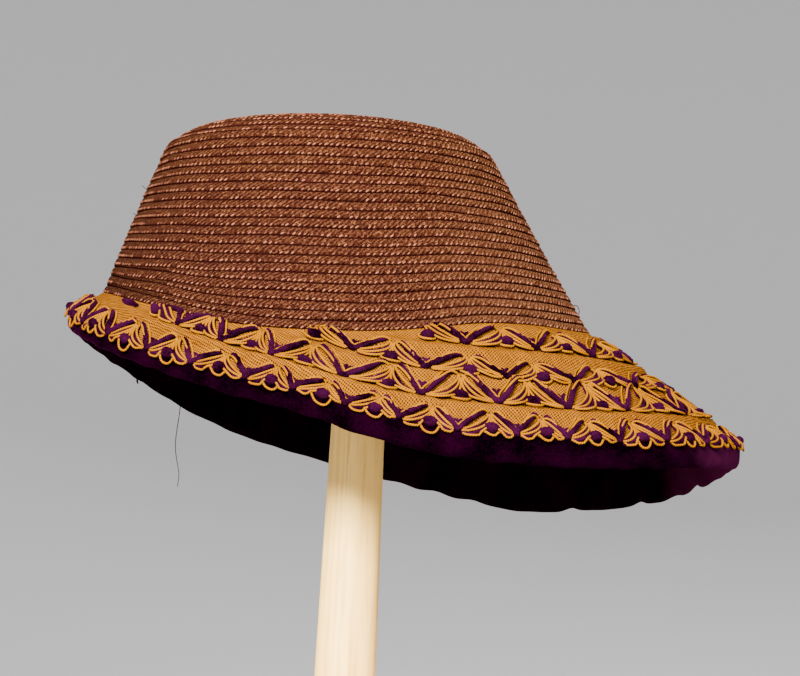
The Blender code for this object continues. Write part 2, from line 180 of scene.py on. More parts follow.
# Stray thread under the far side of the brim: its length, and mm sideways at mm along it.
STRAY_LENGTH, STRAY_WIDTH, STRAY_STEPS = 0.046, 0.0004, 24
STRAY_ANGLE, STRAY_IN, STRAY_DOWN = 134.5, 7.0 * MM, 6.5 * MM
STRAY_LINE = (
    (0, 0.2), (10, 0.1), (16, -0.4), (22, -0.95), (28, -0.9), (34, 0.2), (40, 1.5), (46, 1.1),
)

# Straw end that curls off the crown's front: its height, then mm forward and mm up.
CURL_HEIGHT = 0.2160
CURL_LINE = ((-0.9, 2.3), (0.4, 2.5), (1.5, 1.4), (1.9, -0.2), (1.4, -1.6), (0.2, -2.4))
# Dark knot of chenille on the cover by the crown: angle, mm from the edge.
KNOT = (-146.5, 20.0)
# Cut ends of the gold cord by the crown: angle, mm from the edge, mm over the cloth.
CUT_ENDS = (
    ((-95.5, 49, 1.0), (-95.2, 53, 3.0), (-94.6, 55, 6.0)),
    ((-94.6, 49, 1.0), (-94.2, 54, 4.0), (-93.0, 56, 7.0)),
    ((-96.2, 48, 1.0), (-96.6, 52, 3.0), (-96.2, 54, 5.0)),
)
# Tuft of pile under the far edge: angle, and mm towards the crown, back and up from the roll.
TUFT_ANGLE = 145.7
TUFT_LINES = (
    ((0, 0, 1.5), (-0.3, 0, -1.0), (0.2, 0, -2.6)), ((0.6, 0, 1.5), (1.1, 0, -0.6), (1.6, 0, -1.2)),
)
WISPS, WISP_LENGTH = 26, 3.2 * MM

# Points round a turned piece and the floor.
TURNED_STEPS = 96
# Rest under the crown: share of its radius, share of its height.
REST_LINE = (
    (0.70, 0.0), (0.86, 0.05), (0.95, 0.18), (1.0, 0.42), (0.97, 0.60), (0.90, 0.74), (0.74, 0.86),
    (0.42, 0.97), (0.18, 0.995),
)

# Room and view: the lights' names, places, sizes, watts and tints, and the point that they face.
FLOOR_DOWN = 0.0004
LIGHTS = (
    ("key", (-0.45, -1.85, 0.88), 0.5, 380.0, (1.0, 0.96, 0.90)),
    ("fill", (1.2, -1.2, 1.3), 0.9, 75.0, (1.0, 0.99, 0.97)),
    ("back", (0.3, 1.8, 1.5), 1.2, 80.0, (1.0, 0.98, 0.95)),
)
LIT = Vector((0.0, 0.0, 0.22))
TARGET = Vector((0.0166, 0.0, 0.200))
DISTANCE = 1.2
PITCH, ROLL = math.radians(6.5), math.radians(2.9)
LENS = 121.6


def on_curve(table, x):
    """Smooth values of a two-column table, level at both ends."""
    xs = np.array([row[0] for row in table], float)
    ys = np.array([row[1] for row in table], float)
    slopes = np.zeros(len(xs))
    slopes[1:-1] = (ys[2:] - ys[:-2]) / (xs[2:] - xs[:-2])
    i = np.clip(np.searchsorted(xs, x, side="left") - 1, 0, len(xs) - 2)
    step = xs[i + 1] - xs[i]
    t = np.clip((x - xs[i]) / step, 0.0, 1.0)
    return (
        (2 * t ** 3 - 3 * t ** 2 + 1) * ys[i]
        + (t ** 3 - 2 * t ** 2 + t) * step * slopes[i]
        + (-2 * t ** 3 + 3 * t ** 2) * ys[i + 1]
        + (t ** 3 - t ** 2) * step * slopes[i + 1]
    )


def on_line(table, x):
    """Straight values of a two-column table."""
    return np.interp(x, [row[0] for row in table], [row[1] for row in table])


def turns(count):
    """Evenly spaced angles round the bonnet."""
    return np.arange(count) * 2 * np.pi / count


def arch(size):
    """Values that rise from 0 at one end to 1 in the middle and fall back to 0."""
    return np.sin(np.linspace(0, math.pi, size))


def from_front(theta):
    return np.abs(np.degrees(np.arctan2(np.sin(theta), np.cos(theta))))


def smooth(low, high, x):
    t = np.clip((x - low) / (high - low), 0.0, 1.0)
    return t * t * (3 - 2 * t)


def stacked(x, y, z):
    return np.stack(np.broadcast_arrays(x, y, z), axis=-1)


def unit(v):
    return v / np.maximum(np.linalg.norm(v, axis=-1, keepdims=True), 1e-12)


def oval(centre, length, width, theta, out=0.0):
    a, b = length / 2, width / 2
    nx, ny = np.cos(theta) / a, np.sin(theta) / b
    size = np.hypot(nx, ny)
    return centre + a * np.cos(theta) + out * nx / size, b * np.sin(theta) + out * ny / size


def base_height(theta):
    return BRIM_HEIGHT + BASE_LOW + BASE_RISE * on_curve(BASE_LINE, from_front(theta))


def edge_height(theta):
    return BRIM_HEIGHT + EDGE_LOW + EDGE_RISE * on_curve(EDGE_LINE, from_front(theta))


def wall_point(theta, share, out=0.0):
    bow = -WALL_BOW * np.cos(theta) * np.sin(np.pi * share)
    x0, y0 = oval(TOP_CENTRE, TOP_LENGTH, TOP_WIDTH, theta, out + bow)
    x1, y1 = oval(BASE_CENTRE, BASE_LENGTH, BASE_WIDTH, theta, out + bow)
    z0 = BRIM_HEIGHT + TOP_HEIGHT + TOP_TILT * np.cos(theta)
    z1 = base_height(theta)
    return stacked(x0 + (x1 - x0) * share, y0 + (y1 - y0) * share, z0 + (z1 - z0) * share)


def dome_point(theta, radius, down=0.0):
    x, y = oval(0.0, TOP_LENGTH, TOP_WIDTH, theta, -down)
    rise = on_curve(DOME_LINE, radius)
    z = BRIM_HEIGHT + TOP_HEIGHT + TOP_TILT * np.cos(theta) * radius + DOME_RISE * rise - down
    return stacked(TOP_CENTRE + x * radius, y * radius, z)


def brim_line(theta):
    """Start of the slope by the crown, its end at the edge, and its length."""
    x0, y0 = oval(BASE_CENTRE, BASE_LENGTH, BASE_WIDTH, theta, GAP)
    centre = BASE_CENTRE + (BRIM_FRONT - BRIM_BACK) / 2
    width = (BASE_WIDTH + 2 * BRIM_SIDE) * (1 + EDGE_SWELL_SHARE * np.cos(theta))
    x1, y1 = oval(centre, BASE_LENGTH + BRIM_FRONT + BRIM_BACK, width, theta)
    start = stacked(x0, y0, base_height(theta) - GAP)
    end = stacked(x1, y1, edge_height(theta))
    return start, end, np.linalg.norm(end - start, axis=-1)


def brim_normal(theta, share):
    start, end, length = brim_line(theta)
    after = brim_line(theta + 0.01)
    before = brim_line(theta - 0.01)
    part = np.asarray(share)[..., None]
    along = (after[0] + (after[1] - after[0]) * part) - (before[0] + (before[1] - before[0]) * part)
    normal = unit(np.cross(end - start, along))
    return np.where(normal[..., 2:3] > 0, normal, -normal)


def slope_point(theta, share, down):
    """Point on the plain slope, share 0 at the crown and 1 at the edge, some way under it."""
    start, end, _ = brim_line(theta)
    share = np.broadcast_to(share, theta.shape)
    return start + (end - start) * share[:, None] - brim_normal(theta, share) * down


def opening(theta, down):
    """Point at the edge of the head opening, some way under the crown's base."""
    x, y = oval(BASE_CENTRE, BASE_LENGTH, BASE_WIDTH, theta, -WALL)
    return stacked(x, y, base_height(theta) - down)


def ripples(theta, count, low, high, rng):
    """Sum of a few waves round the bonnet, about 1 high, with whole numbers of waves."""
    total = np.zeros(np.shape(theta))
    for _ in range(count):
        total = total + np.cos(int(rng.integers(low, high)) * theta + rng.uniform(0, 2 * np.pi))
    return total / math.sqrt(count)


def puff_height(theta, distance, length):
    """Height of the cloth over the plain slope, full between the trim rows."""
    total = 0.0
    for tier, share, reach in PUFFS:
        middle = tier * TRIM_WIDTH
        x = np.clip((distance - middle) / (reach * MM), -1.0, 1.0)
        swell = PUFF * share * np.cos(x * np.pi / 2) ** 2
        total = total + swell * smooth(middle + 2 * MM, middle + 9 * MM, length)
    return total * smooth(0.0, 4 * MM, length - distance)


def brim_place(theta, distance, height):
    """Point over the brim, a distance up from its edge; past the edge it falls down the roll."""
    start, end, length = brim_line(theta)
    on_slope = np.clip(distance, 0.0, length + 1.5 * MM)
    share = 1 - on_slope / length
    normal = brim_normal(theta, share)
    lift = np.where(distance > length, 0.2 * height, height)
    lift = lift + puff_height(theta, np.clip(distance, 0.0, length), length)
    past = np.maximum(-distance, 0.0)
    outwards = unit(end - start)
    fall = unit(normal * ROLL_LEAN_SHARE + np.array([0.0, 0.0, 1 - ROLL_LEAN_SHARE]))
    near = np.exp(-past / (2 * MM))
    out = ROLL_OUT * (1 - np.exp(-past / (1.5 * MM))) + height * (1 - near)
    point = start + (end - start) * share[..., None] + normal * (lift * near)[..., None]
    return point + outwards * out[..., None] - fall * past[..., None]


def straightened(angle, middle, v):
    """Angle in degrees at which a point v mm from the row's middle stands square to the row."""
    theta = np.radians(np.asarray(angle, float))
    distance = on_line(middle, angle) * MM
    flat, turn, step = 0.0 * theta, 0.005, 0.5 * MM
    on = brim_place(theta + turn, distance, flat) - brim_place(theta - turn, distance, flat)
    up = brim_place(theta, distance + step, flat) - brim_place(theta, distance - step, flat)
    on, up = on / (2 * turn), up / (2 * step)
    skew = np.einsum("...i,...i->...", on, up) / np.einsum("...i,...i->...", on, on)
    return angle - np.degrees(skew * (np.asarray(v, float) + VALLEY_DROP) * MM)


def finish_piece(piece, slot_name, *nodes):
    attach(piece, "root")
    if nodes:
        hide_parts(*nodes)


def placed(name, data):
    """A new object in the scene."""
    thing = bpy.data.objects.new(name, data)
    bpy.context.collection.objects.link(thing)
    return thing


def as_mesh(thing):
    """The plain mesh that an object's modifiers make of it."""
    shown = thing.evaluated_get(bpy.context.evaluated_depsgraph_get())
    return bpy.data.meshes.new_from_object(shown)


def new_piece(name, points, faces, material, uv=None):
    """A mesh object from arrays; uv holds one pair for each corner of each face, in order."""
    mesh = bpy.data.meshes.new(name)
    mesh.from_pydata(np.asarray(points).tolist(), [], faces)
    mesh.polygons.foreach_set("use_smooth", np.ones(len(mesh.polygons), bool))
    if uv is not None:
        layer = mesh.uv_layers.new(name="UVMap")
        layer.data.foreach_set("uv", np.asarray(uv, np.float32).ravel())
    mesh.materials.append(material)
    mesh.update()
    return placed(name, mesh)


def ring_faces(count, columns, closed_section):
    """Quads round a ring of sections; turned so that a section that runs down faces out."""
    i = np.arange(count)[:, None]
    last = columns if closed_section else columns - 1
    j = np.arange(last)[None, :]
    i2 = (i + 1) % count
    j2 = (j + 1) % columns
    quads = np.stack(
        [i * columns + j, i * columns + j2, i2 * columns + j2, i2 * columns + j], axis=-1
    )
    return quads.reshape(-1, 4)


def end_fans(points, count, columns, turned, tips):
    """Closes both ends of a ring of sections with a tip; returns the points and the new faces."""
    faces = []
    for column, place, flip in ((0, tips[0], turned), (columns - 1, tips[1], not turned)):
        tip = len(points)
        points = np.concatenate([points, [place]])
        for i in range(count):
            here, there = i * columns + column, (i + 1) % count * columns + column
            faces.append([tip, there, here] if flip else [tip, here, there])
    return points, faces


def volume_sign(points, faces):
    a, b, c, d = (points[faces[:, k]] for k in range(4))
    total = np.einsum("ij,ij->i", a, np.cross(b, c)).sum()
    total += np.einsum("ij,ij->i", a, np.cross(c, d)).sum()
    return 1 if total > 0 else -1


def travelled(line):
    """Distance along a closed line of points, one value more than it has points."""
    steps = np.linalg.norm(np.roll(line, -1, axis=0) - line, axis=-1)
    return np.concatenate([[0.0], np.cumsum(steps)])


class Nodes:
    """Short hand for building a node tree."""

    def __init__(self, tree):
        self.tree = tree

    def put(self, value, socket):
        if isinstance(value, bpy.types.NodeSocket):
            self.tree.links.new(value, socket)
        else:
            socket.default_value = value

    def outputs(self, kind, values=None, **settings):
        node = self.tree.nodes.new(kind)
        for key, value in settings.items():
            setattr(node, key, value)
        for key, value in (values or {}).items():
            self.put(value, node.inputs[key])
        return node.outputs

    def add(self, kind, values=None, **settings):
        """Adds a node and returns its first output."""
        return self.outputs(kind, values, **settings)[0]

    def sum(self, kind, *terms):
        return self.add("ShaderNodeMath", dict(enumerate(terms)), operation=kind)

    def spread(self, value, low, high, to_low=0.0, to_high=1.0):
        return self.add("ShaderNodeMapRange", {
            "Value": value, "From Min": low, "From Max": high, "To Min": to_low, "To Max": to_high,
        })

    def blend(self, share, first, second):
        return self.outputs("ShaderNodeMix", {0: share, 6: first, 7: second}, data_type="RGBA")[2]

    def tinted(self, tone, tint, value, low, high, share):
        """Tone blended towards a tint, by up to a share as a value runs from low to high."""
        return self.blend(self.spread(value, low, high, 0.0, share), tone, colour(*tint))

    def noise(self, place, scale, detail=2.0, rough=0.5):
        return self.outputs("ShaderNodeTexNoise", {
            "Vector": place, "Scale": scale, "Detail": detail, "Roughness": rough,
        })["Fac"]

    def place(self):
        return self.outputs("ShaderNodeTexCoord")["Object"]

    def parts(self, vector):
        return self.outputs("ShaderNodeSeparateXYZ", {0: vector})

    def joined(self, x, y, z):
        return self.add("ShaderNodeCombineXYZ", {0: x, 1: y, 2: z})

    def scaled(self, vector, share):
        return self.add("ShaderNodeVectorMath", {0: vector, "Scale": share}, operation="SCALE")

    def random(self, low, high, seed):
        values = {2: low, 3: high, "Seed": seed}
        return self.outputs("FunctionNodeRandomValue", values, data_type="FLOAT")[1]

    def named(self, name, kind="FLOAT"):
        return self.add("GeometryNodeInputNamedAttribute", {"Name": name}, data_type=kind)

    def stored(self, geometry, name, value, kind="FLOAT", domain="POINT"):
        return self.add("GeometryNodeStoreNamedAttribute", {
            "Geometry": geometry, "Name": name, "Value": value,
        }, data_type=kind, domain=domain)

    def finished(self, geometry, finish, out):
        """Makes instances real and smooth, gives them their finish and sends them out."""
        real = self.add("GeometryNodeRealizeInstances", {"Geometry": geometry})
        soft = self.add("GeometryNodeSetShadeSmooth", {"Geometry": real})
        self.put(self.add("GeometryNodeSetMaterial", {"Geometry": soft, "Material": finish}), out)


def colour(red, green, blue):
    """Linear colour from the usual 0 to 255 numbers."""
    values = []
    for value in (red, green, blue):
        share = value / 255
        values.append(share / 12.92 if share <= 0.04045 else ((share + 0.055) / 1.055) ** 2.4)
    return (*values, 1.0)


def new_group(name, kind, inputs, outputs):
    """A node group; inputs are name, kind of socket and default, outputs name and kind."""
    tree = bpy.data.node_groups.new(name, kind)
    for label, sort, default in inputs:
        socket = tree.interface.new_socket(label, in_out="INPUT", socket_type="NodeSocket" + sort)
        if default is not None:
            socket.default_value = default
    for label, sort in outputs:
        tree.interface.new_socket(label, in_out="OUTPUT", socket_type="NodeSocket" + sort)
    given = tree.nodes.new("NodeGroupInput").outputs
    return tree, Nodes(tree), given, tree.nodes.new("NodeGroupOutput").inputs


def blotch_group():
    """Slow changes of tone over a piece, with finer ones in them."""
    tree, n, given, out = new_group(
        "Blotches", "ShaderNodeTree", [("Scale", "Float", 30.0), ("Fine share", "Float", 0.3)],
        [("Mask", "Float")],
    )
    place = n.place()
    slow = n.noise(place, given["Scale"], 2.0, 0.5)
    fine = n.noise(place, n.sum("MULTIPLY", given["Scale"], 9.0), 2.0, 0.6)
    mixed = n.add("ShaderNodeMix", {0: given["Fine share"], 2: slow, 3: fine})
    n.put(n.spread(mixed, 0.33, 0.67), out["Mask"])
    return tree


def weave_group():
    """Plain weave of round threads; U and V count threads."""
    tree, n, given, out = new_group(
        "Plain weave", "ShaderNodeTree", [("U", "Float", 0.0), ("V", "Float", 0.0)],
        [("Height", "Float"), ("Hole", "Float")],
    )
    half_u = n.sum("SINE", n.sum("MULTIPLY", given["U"], math.pi))
    half_v = n.sum("SINE", n.sum("MULTIPLY", given["V"], math.pi))
    over = n.sum("MULTIPLY_ADD", n.sum("MULTIPLY", half_u, half_v), 0.5, 0.5)
    round_u = n.sum("POWER", n.sum("ABSOLUTE", half_u), 0.7)
    round_v = n.sum("POWER", n.sum("ABSOLUTE", half_v), 0.7)
    warp = n.sum("MULTIPLY", round_u, n.spread(over, 0.0, 1.0, 0.35, 1.0))
    weft = n.sum("MULTIPLY", round_v, n.spread(over, 0.0, 1.0, 1.0, 0.35))
    n.put(n.sum("MAXIMUM", warp, weft), out["Height"])
    n.put(n.spread(n.sum("MAXIMUM", round_u, round_v), 0.82, 0.50), out["Hole"])
    return tree


def pile_group():
    """Short pile: specks of light and dark fibre, for velvet and chenille."""
    tree, n, given, out = new_group("Pile", "ShaderNodeTree", [
        ("Scale", "Float", 1500.0),
        ("Dark", "Color", (0.0, 0.0, 0.0, 1.0)),
        ("Light", "Color", (1.0, 1.0, 1.0, 1.0)),
    ], [("Colour", "Color"), ("Height", "Float")])
    place = n.place()
    fibre = n.noise(place, given["Scale"], 3.0, 0.7)
    crush = n.noise(place, n.sum("MULTIPLY", given["Scale"], 0.08), 2.0, 0.5)
    share = n.sum("ADD", n.sum("MULTIPLY", fibre, 0.45), n.sum("MULTIPLY", crush, 0.55))
    n.put(n.blend(n.spread(share, 0.40, 0.62), given["Dark"], given["Light"]), out["Colour"])
    n.put(fibre, out["Height"])
    return tree


GROUPS = {"blotches": blotch_group(), "weave": weave_group(), "pile": pile_group()}


class Finish(Nodes):
    """A material with its shader's sockets and the nodes that feed them."""

    def __init__(self, name, roughness, specular=0.0, sheen=0.0, sheen_tint=(1.0, 1.0, 1.0, 1.0)):
        self.material = bpy.data.materials.new(name)
        self.material.use_nodes = True
        super().__init__(self.material.node_tree)
        self.shader = self.tree.nodes["Principled BSDF"].inputs
        for key, value in (
            ("Roughness", roughness), ("Specular IOR Level", specular), ("Sheen Weight", sheen),
            ("Sheen Roughness", 0.35), ("Sheen Tint", sheen_tint),
        ):
            self.shader[key].default_value = value

    def dress(self, tone, height=None, strength=0.0, depth=0.0, roughness=None):
        """Sends a tone and, where given, a bump and a changing roughness; returns the material."""
        self.put(tone, self.shader["Base Color"])
        if height is not None:
            bump = {"Height": height, "Strength": strength, "Distance": depth}
            self.put(self.add("ShaderNodeBump", bump), self.shader["Normal"])
        if roughness is not None:
            self.put(roughness, self.shader["Roughness"])
        return self.material


def group_node(nodes, name, values):
    return nodes.outputs("ShaderNodeGroup", values, node_tree=GROUPS[name])


def blotches(nodes, scale, fine_share):
    return group_node(nodes, "blotches", {"Scale": scale, "Fine share": fine_share})["Mask"]


def straw_tone(n):
    """Golden brown to red brown, in patches, more golden near the crown's top."""
    place = n.place()
    high = n.spread(n.parts(place)[2], 0.235, 0.292, -0.05, 0.35)
    golden = n.sum("ADD", n.sum("MULTIPLY", blotches(n, 20.0, 0.40), 0.85), high)
    return n.blend(golden, colour(33, 11, 11), colour(58, 32, 16)), place


def braid_finish():
    """Plaited straw; the UV map holds mm along the row and mm across it."""
    n = Finish("plaited_straw", 0.55)
    along, across, _ = n.parts(n.add("ShaderNodeUVMap"))
    tone, place = straw_tone(n)
    forward = n.parts(place)[0]
    shake = n.sum("MULTIPLY_ADD", n.noise(place, 420.0, 2.0, 0.6), 3.6, -1.8)
    slant = n.sum("ADD", n.sum("MULTIPLY_ADD", across, 1.1, along), shake)
    back = n.sum("ADD", n.sum("MULTIPLY_ADD", across, -1.3, along), shake)
    ridge = n.sum("SINE", n.sum("MULTIPLY", slant, 2 * math.pi / STRAW_PITCH))
    cross = n.sum("SINE", n.sum("MULTIPLY", back, 4 * math.pi / STRAW_PITCH))
    plait = n.sum("MULTIPLY_ADD", cross, 0.35, n.sum("MULTIPLY", ridge, 0.65))
    fibre = n.noise(n.joined(slant, n.sum("MULTIPLY", across, 0.25), 0.0), 3.2, 3.0, 0.7)
    speck = n.noise(place, 950.0, 2.0, 0.6)
    # The plait tints are a painted highlight on the ridges and painted shade in the hollows between
    # strands; the across tint is painted shade along the row's lower edge, round the straw ends;
    # the forward tints are painted shade on the back of the crown and painted light on its front.
    for tint, value, low, high, share in (
        ((90, 52, 33), fibre, 0.42, 0.68, 0.80), ((92, 59, 44), plait, 0.35, 0.90, 0.45),
        ((25, 6, 4), plait, 0.10, -0.60, 0.90), ((19, 3, 2), across, 2.7, 3.1, 0.55),
        ((24, 6, 5), speck, 0.46, 0.34, 0.80), ((120, 78, 44), speck, 0.60, 0.72, 0.70),
        ((22, 7, 6), forward, -0.02, -0.11, 0.30), ((116, 76, 48), forward, 0.02, 0.09, 0.24),
    ):
        tone = n.tinted(tone, tint, value, low, high, share)
    # Painted shade: dark in the grooves where one row laps over the next.
    groove_shade = n.sum("MAXIMUM", n.spread(across, 3.45, 4.0), n.spread(across, 0.55, 0.05))
    tone = n.blend(groove_shade, tone, colour(30, 7, 6))
    height = n.sum("MULTIPLY_ADD", speck, 1.2, plait)
    return n.dress(tone, height, 1.0, 0.5 * MM, n.spread(fibre, 0.3, 0.7, 0.62, 0.42))


def bead_finish():
    """Straw ends at the lower edge of each row, paler than the braid: partly their own tone, partly
    a painted highlight, with the darkest ends painted shade between them.
    """
    n = Finish("straw_edge", 0.5)
    tone, place = straw_tone(n)
    shade = n.outputs("ShaderNodeAttribute", attribute_name="shade")["Fac"]
    grain = n.noise(place, 2600.0, 2.0, 0.6)
    # Painted highlight, partly: the pale tone stands in for light on the twisted edge; the dark
    # tint below paints shade between the ends.
    tone = n.blend(shade, tone, colour(114, 70, 52))
    tone = n.tinted(tone, (34, 11, 7), shade, 0.50, 0.36, 0.8)
    tone = n.tinted(tone, (56, 24, 14), grain, 0.55, 0.3, 0.5)
    return n.dress(tone, grain, 0.4, 0.15 * MM)


def cover_finish():
    """Coarse golden cloth; the UV map counts threads."""
    n = Finish("coarse_cloth", 0.9)
    u, v, _ = n.parts(n.add("ShaderNodeUVMap"))
    bend = n.sum("MULTIPLY_ADD", n.noise(n.place(), 120.0, 2.0, 0.5), 1.4, -0.7)
    u, v = n.sum("ADD", u, bend), n.sum("SUBTRACT", v, bend)
    weave = group_node(n, "weave", {"U": u, "V": v})
    long_way = n.joined(n.sum("MULTIPLY", u, 0.9), n.sum("MULTIPLY", v, 0.12), 0.0)
    slub = n.noise(long_way, 1.0, 2.0, 0.6)
    tone = n.blend(blotches(n, 55.0, 0.5), colour(95, 57, 10), colour(111, 71, 15))
    tone = n.tinted(tone, (136, 84, 22), slub, 0.4, 0.65, 0.55)
    # Painted shade: darker where the threads dip low in the weave, and near black in the holes
    # between them.
    tone = n.tinted(tone, (50, 21, 3), weave["Height"], 0.95, 0.55, 0.75)
    tone = n.blend(weave["Hole"], tone, colour(16, 5, 1))
    return n.dress(tone, weave["Height"], 0.9, 0.3 * MM)


def velvet_finish(name, dark, light, scale, sheen, painted_front_light=None):
    """Velvet pile; the last argument is a lighter tone painted on the pile at the brim's front, a
    painted pool of light.
    """
    n = Finish(name, 0.85, sheen=sheen, sheen_tint=colour(176, 50, 140))
    pile = group_node(n, "pile", {"Scale": scale, "Dark": colour(*dark), "Light": colour(*light)})
    tone = pile["Colour"]
    if painted_front_light:
        place = n.place()
        forward = n.sum("SUBTRACT", n.parts(place)[0], 0.02)
        uneven = n.sum("MULTIPLY_ADD", n.noise(place, 60.0, 2.0, 0.5), 0.04, forward)
        # Painted light: a lighter purple on the front of the roll, where the light falls on it.
        tone = n.tinted(tone, painted_front_light, uneven, 0.134, 0.172, 0.8)
    return n.dress(tone, pile["Height"], 0.7, 0.4 * MM)


def gold_finish():
    """Two-ply gold cord; cord_turn holds the cosine and sine round it and the mm along it."""
    n = Finish("gold_cord", 0.6)
    turn = n.outputs("ShaderNodeAttribute", attribute_name="cord_turn")["Vector"]
    cosine, sine, along = n.parts(turn)
    phase = n.sum("MULTIPLY", along, 2 * math.pi / TWIST_PITCH)
    rising = n.sum("MULTIPLY", n.sum("SINE", phase), cosine)
    twist = n.sum("ADD", rising, n.sum("MULTIPLY", n.sum("COSINE", phase), sine))
    tone = n.blend(blotches(n, 90.0, 0.5), colour(104, 62, 0), colour(125, 79, 0))
    # Painted shade: darker in the grooves of the twist, between the plies.
    tone = n.tinted(tone, (60, 24, 0), twist, 0.0, -0.95, 0.6)
    return n.dress(tone, twist, 0.4, 0.2 * MM)


def wood_finish():
    """Pale wood with a fine grain up the pole."""
    n = Finish("pale_wood", 0.6, specular=0.2)
    long_way = n.add("ShaderNodeMapping", {"Vector": n.place(), "Scale": (1.0, 1.0, 0.035)})
    streak = n.noise(long_way, 420.0, 4.0, 0.65)
    broad = n.noise(long_way, 90.0, 2.0, 0.5)
    tone = n.blend(n.spread(broad, 0.35, 0.65), colour(234, 194, 106), colour(224, 178, 90))
    tone = n.tinted(tone, (184, 134, 66), streak, 0.48, 0.68, 0.7)
    tone = n.tinted(tone, (240, 206, 126), blotches(n, 28.0, 0.3), 0.0, 1.0, 0.25)
    return n.dress(tone, streak, 0.25, 0.15 * MM, n.spread(streak, 0.3, 0.7, 0.5, 0.7))


def row_edges(theta):
    """Shares of the wall at which the rows meet, for each angle: an array of rows + 1 columns."""
    away_from_back = 180.0 - from_front(theta)
    opened = WEDGE_SHARE + (1 - WEDGE_SHARE) * smooth(WEDGE_FROM, WEDGE_TO, away_from_back)
    weights = np.ones((len(theta), WALL_ROWS))
    for row in WEDGE_ROWS:
        weights[:, row] = opened
    edges = np.cumsum(weights / weights.sum(axis=1, keepdims=True), axis=1)
    return np.concatenate([np.zeros((len(theta), 1)), edges], axis=1), weights


def crown_rows():
    """Each row of braid: plain surface points across it, its heights, its share of full width."""
    theta = turns(BRAID_STEPS)
    rng = np.random.default_rng(11)
    across = np.array([row[0] for row in BRAID_SECTION])
    lift = np.array([row[1] for row in BRAID_SECTION]) * MM
    rows = []
    for row in range(DOME_ROWS - 1, -1, -1):
        inner = max(1 - (row + 1) / DOME_ROWS, 0.004)
        outer = 1 - row / DOME_ROWS
        radius = inner + (outer - inner) * across
        points = dome_point(theta[:, None], radius[None, :])
        rows.append((points, np.tile(lift, (len(theta), 1)), np.ones(len(theta))))
    edges, weights = row_edges(theta)
    for k in range(1, WALL_ROWS):
        edges[:, k] += ripples(theta, 3, 2, 11, rng) * 0.0022
    for row in range(WALL_ROWS):
        width = (edges[:, row + 1] - edges[:, row])[:, None]
        share = edges[:, row:row + 1] + width * across[None, :]
        points = wall_point(theta[:, None], share)
        swell = 0.12 * MM * ripples(theta, 3, 3, 14, rng)[:, None] * np.ones(len(across))
        rows.append((points, lift[None, :] * weights[:, row:row + 1] + swell, weights[:, row]))
    return theta, rows


def surface_normals(points):
    """Outward normals of a ring of sections that run from the top down."""
    round_it = np.roll(points, -1, axis=0) - np.roll(points, 1, axis=0)
    down = np.gradient(points, axis=1)
    return unit(np.cross(down, round_it))


def build_crown(material):
    theta, rows = crown_rows()
    plain = np.concatenate([row[0] for row in rows], axis=1)
    lifts = np.concatenate([row[1] for row in rows], axis=1)
    normals = surface_normals(plain)
    # The innermost points stand on the axis, where the surface gives no normal.
    normals[:, :3] = np.array([0.0, 0.0, 1.0])
    away = plain - np.array([TOP_CENTRE, 0, BRIM_HEIGHT])
    normals *= np.sign(np.einsum("ijk,ijk->ij", normals, away))[..., None]
    outer = plain + normals * lifts[..., None]
    width = len(BRAID_SECTION)
    inner = [wall_point(theta, share, -WALL) for share in np.linspace(1, 0, 9)]
    radii = [row[0] for row in DOME_LINE[-2:0:-1]] + [0.05]
    inner += [dome_point(theta, radius, WALL) for radius in radii]
    grid = np.concatenate([outer, np.stack(inner, axis=1)], axis=1)
    count, columns = grid.shape[:2]
    uv = np.zeros((count, columns - 1, 4, 2))
    rng = np.random.default_rng(12)
    for j in range(columns - 1):
        row, k = divmod(j, width)
        if row < len(rows):
            if k == 0:
                gone = travelled(outer[:, j + MIDDLE_POINT]) / MM + rng.uniform(0, 40)
            top = BRAID_SECTION[k][0] * ROW_WIDTH
            low = BRAID_SECTION[k + 1][0] * ROW_WIDTH if k + 1 < width else ROW_LIP
        else:
            gone = travelled(grid[:, j]) / MM
            top, low = 1.0, 3.0
        uv[:, j, :, 0] = np.stack([gone[:-1], gone[:-1], gone[1:], gone[1:]], axis=-1)
        uv[:, j, :, 1] = (top, low, low, top)
    points, uv = grid.reshape(-1, 3), uv.reshape(-1, 4, 2)
    faces = ring_faces(count, columns, False)
    turned = volume_sign(points, faces) < 0
    if turned:
        faces, uv = faces[:, ::-1], uv[:, ::-1]
    tips = [grid[:, column].mean(axis=0) for column in (0, -1)]
    points, fans = end_fans(points, count, columns, turned, tips)
    uv = np.concatenate([uv.reshape(-1, 2), np.tile([[0.0, 2.0]], (3 * len(fans), 1))])
    piece = new_piece("braided_crown", points, faces.tolist() + fans, material, uv)
    finish_piece(piece, "straw", "straw_crown")
    return rows, outer, normals


def sampled(line, place):
    """Values of a closed line at fractional places along it."""
    count = len(line)
    i = np.floor(place).astype(int)
    t = (place - i)[:, None]
    return line[i % count] * (1 - t) + line[(i + 1) % count] * t


def bead_points(rows, outer, normals, which):
    """Place, direction and outward direction of the straw ends along some of the rows."""
    rng = np.random.default_rng(21)
    places, directions, outs = [], [], []
    for index in which:
        j = index * len(BRAID_SECTION) + EDGE_POINT
        line, normal, weight = outer[:, j], normals[:, j], rows[index][2]
        above = outer[:, j - EDGE_POINT + MIDDLE_POINT]
        gone = travelled(line)
        count = max(int(gone[-1] / BEAD_PITCH), 6)
        wanted = (np.arange(count) + rng.uniform(-0.13, 0.13, count)) * gone[-1] / count
        place = np.interp(np.mod(wanted, gone[-1]), gone, np.arange(len(gone)))
        place = place[np.interp(place, np.arange(len(weight)), weight) > 0.5]
        at = sampled(line, place)
        out = unit(sampled(normal, place))
        on = unit(sampled(np.roll(line, -1, axis=0) - line, place))
        up = unit(sampled(above - line, place))
        lean = (BEAD_LEAN + rng.uniform(-0.16, 0.16, len(place)))[:, None]
        places.append(at - out * 0.06 * MM + up * 0.25 * MM)
        directions.append(on * np.cos(lean) + up * np.sin(lean))
        outs.append(out)
    return np.concatenate(places), np.concatenate(directions), np.concatenate(outs)


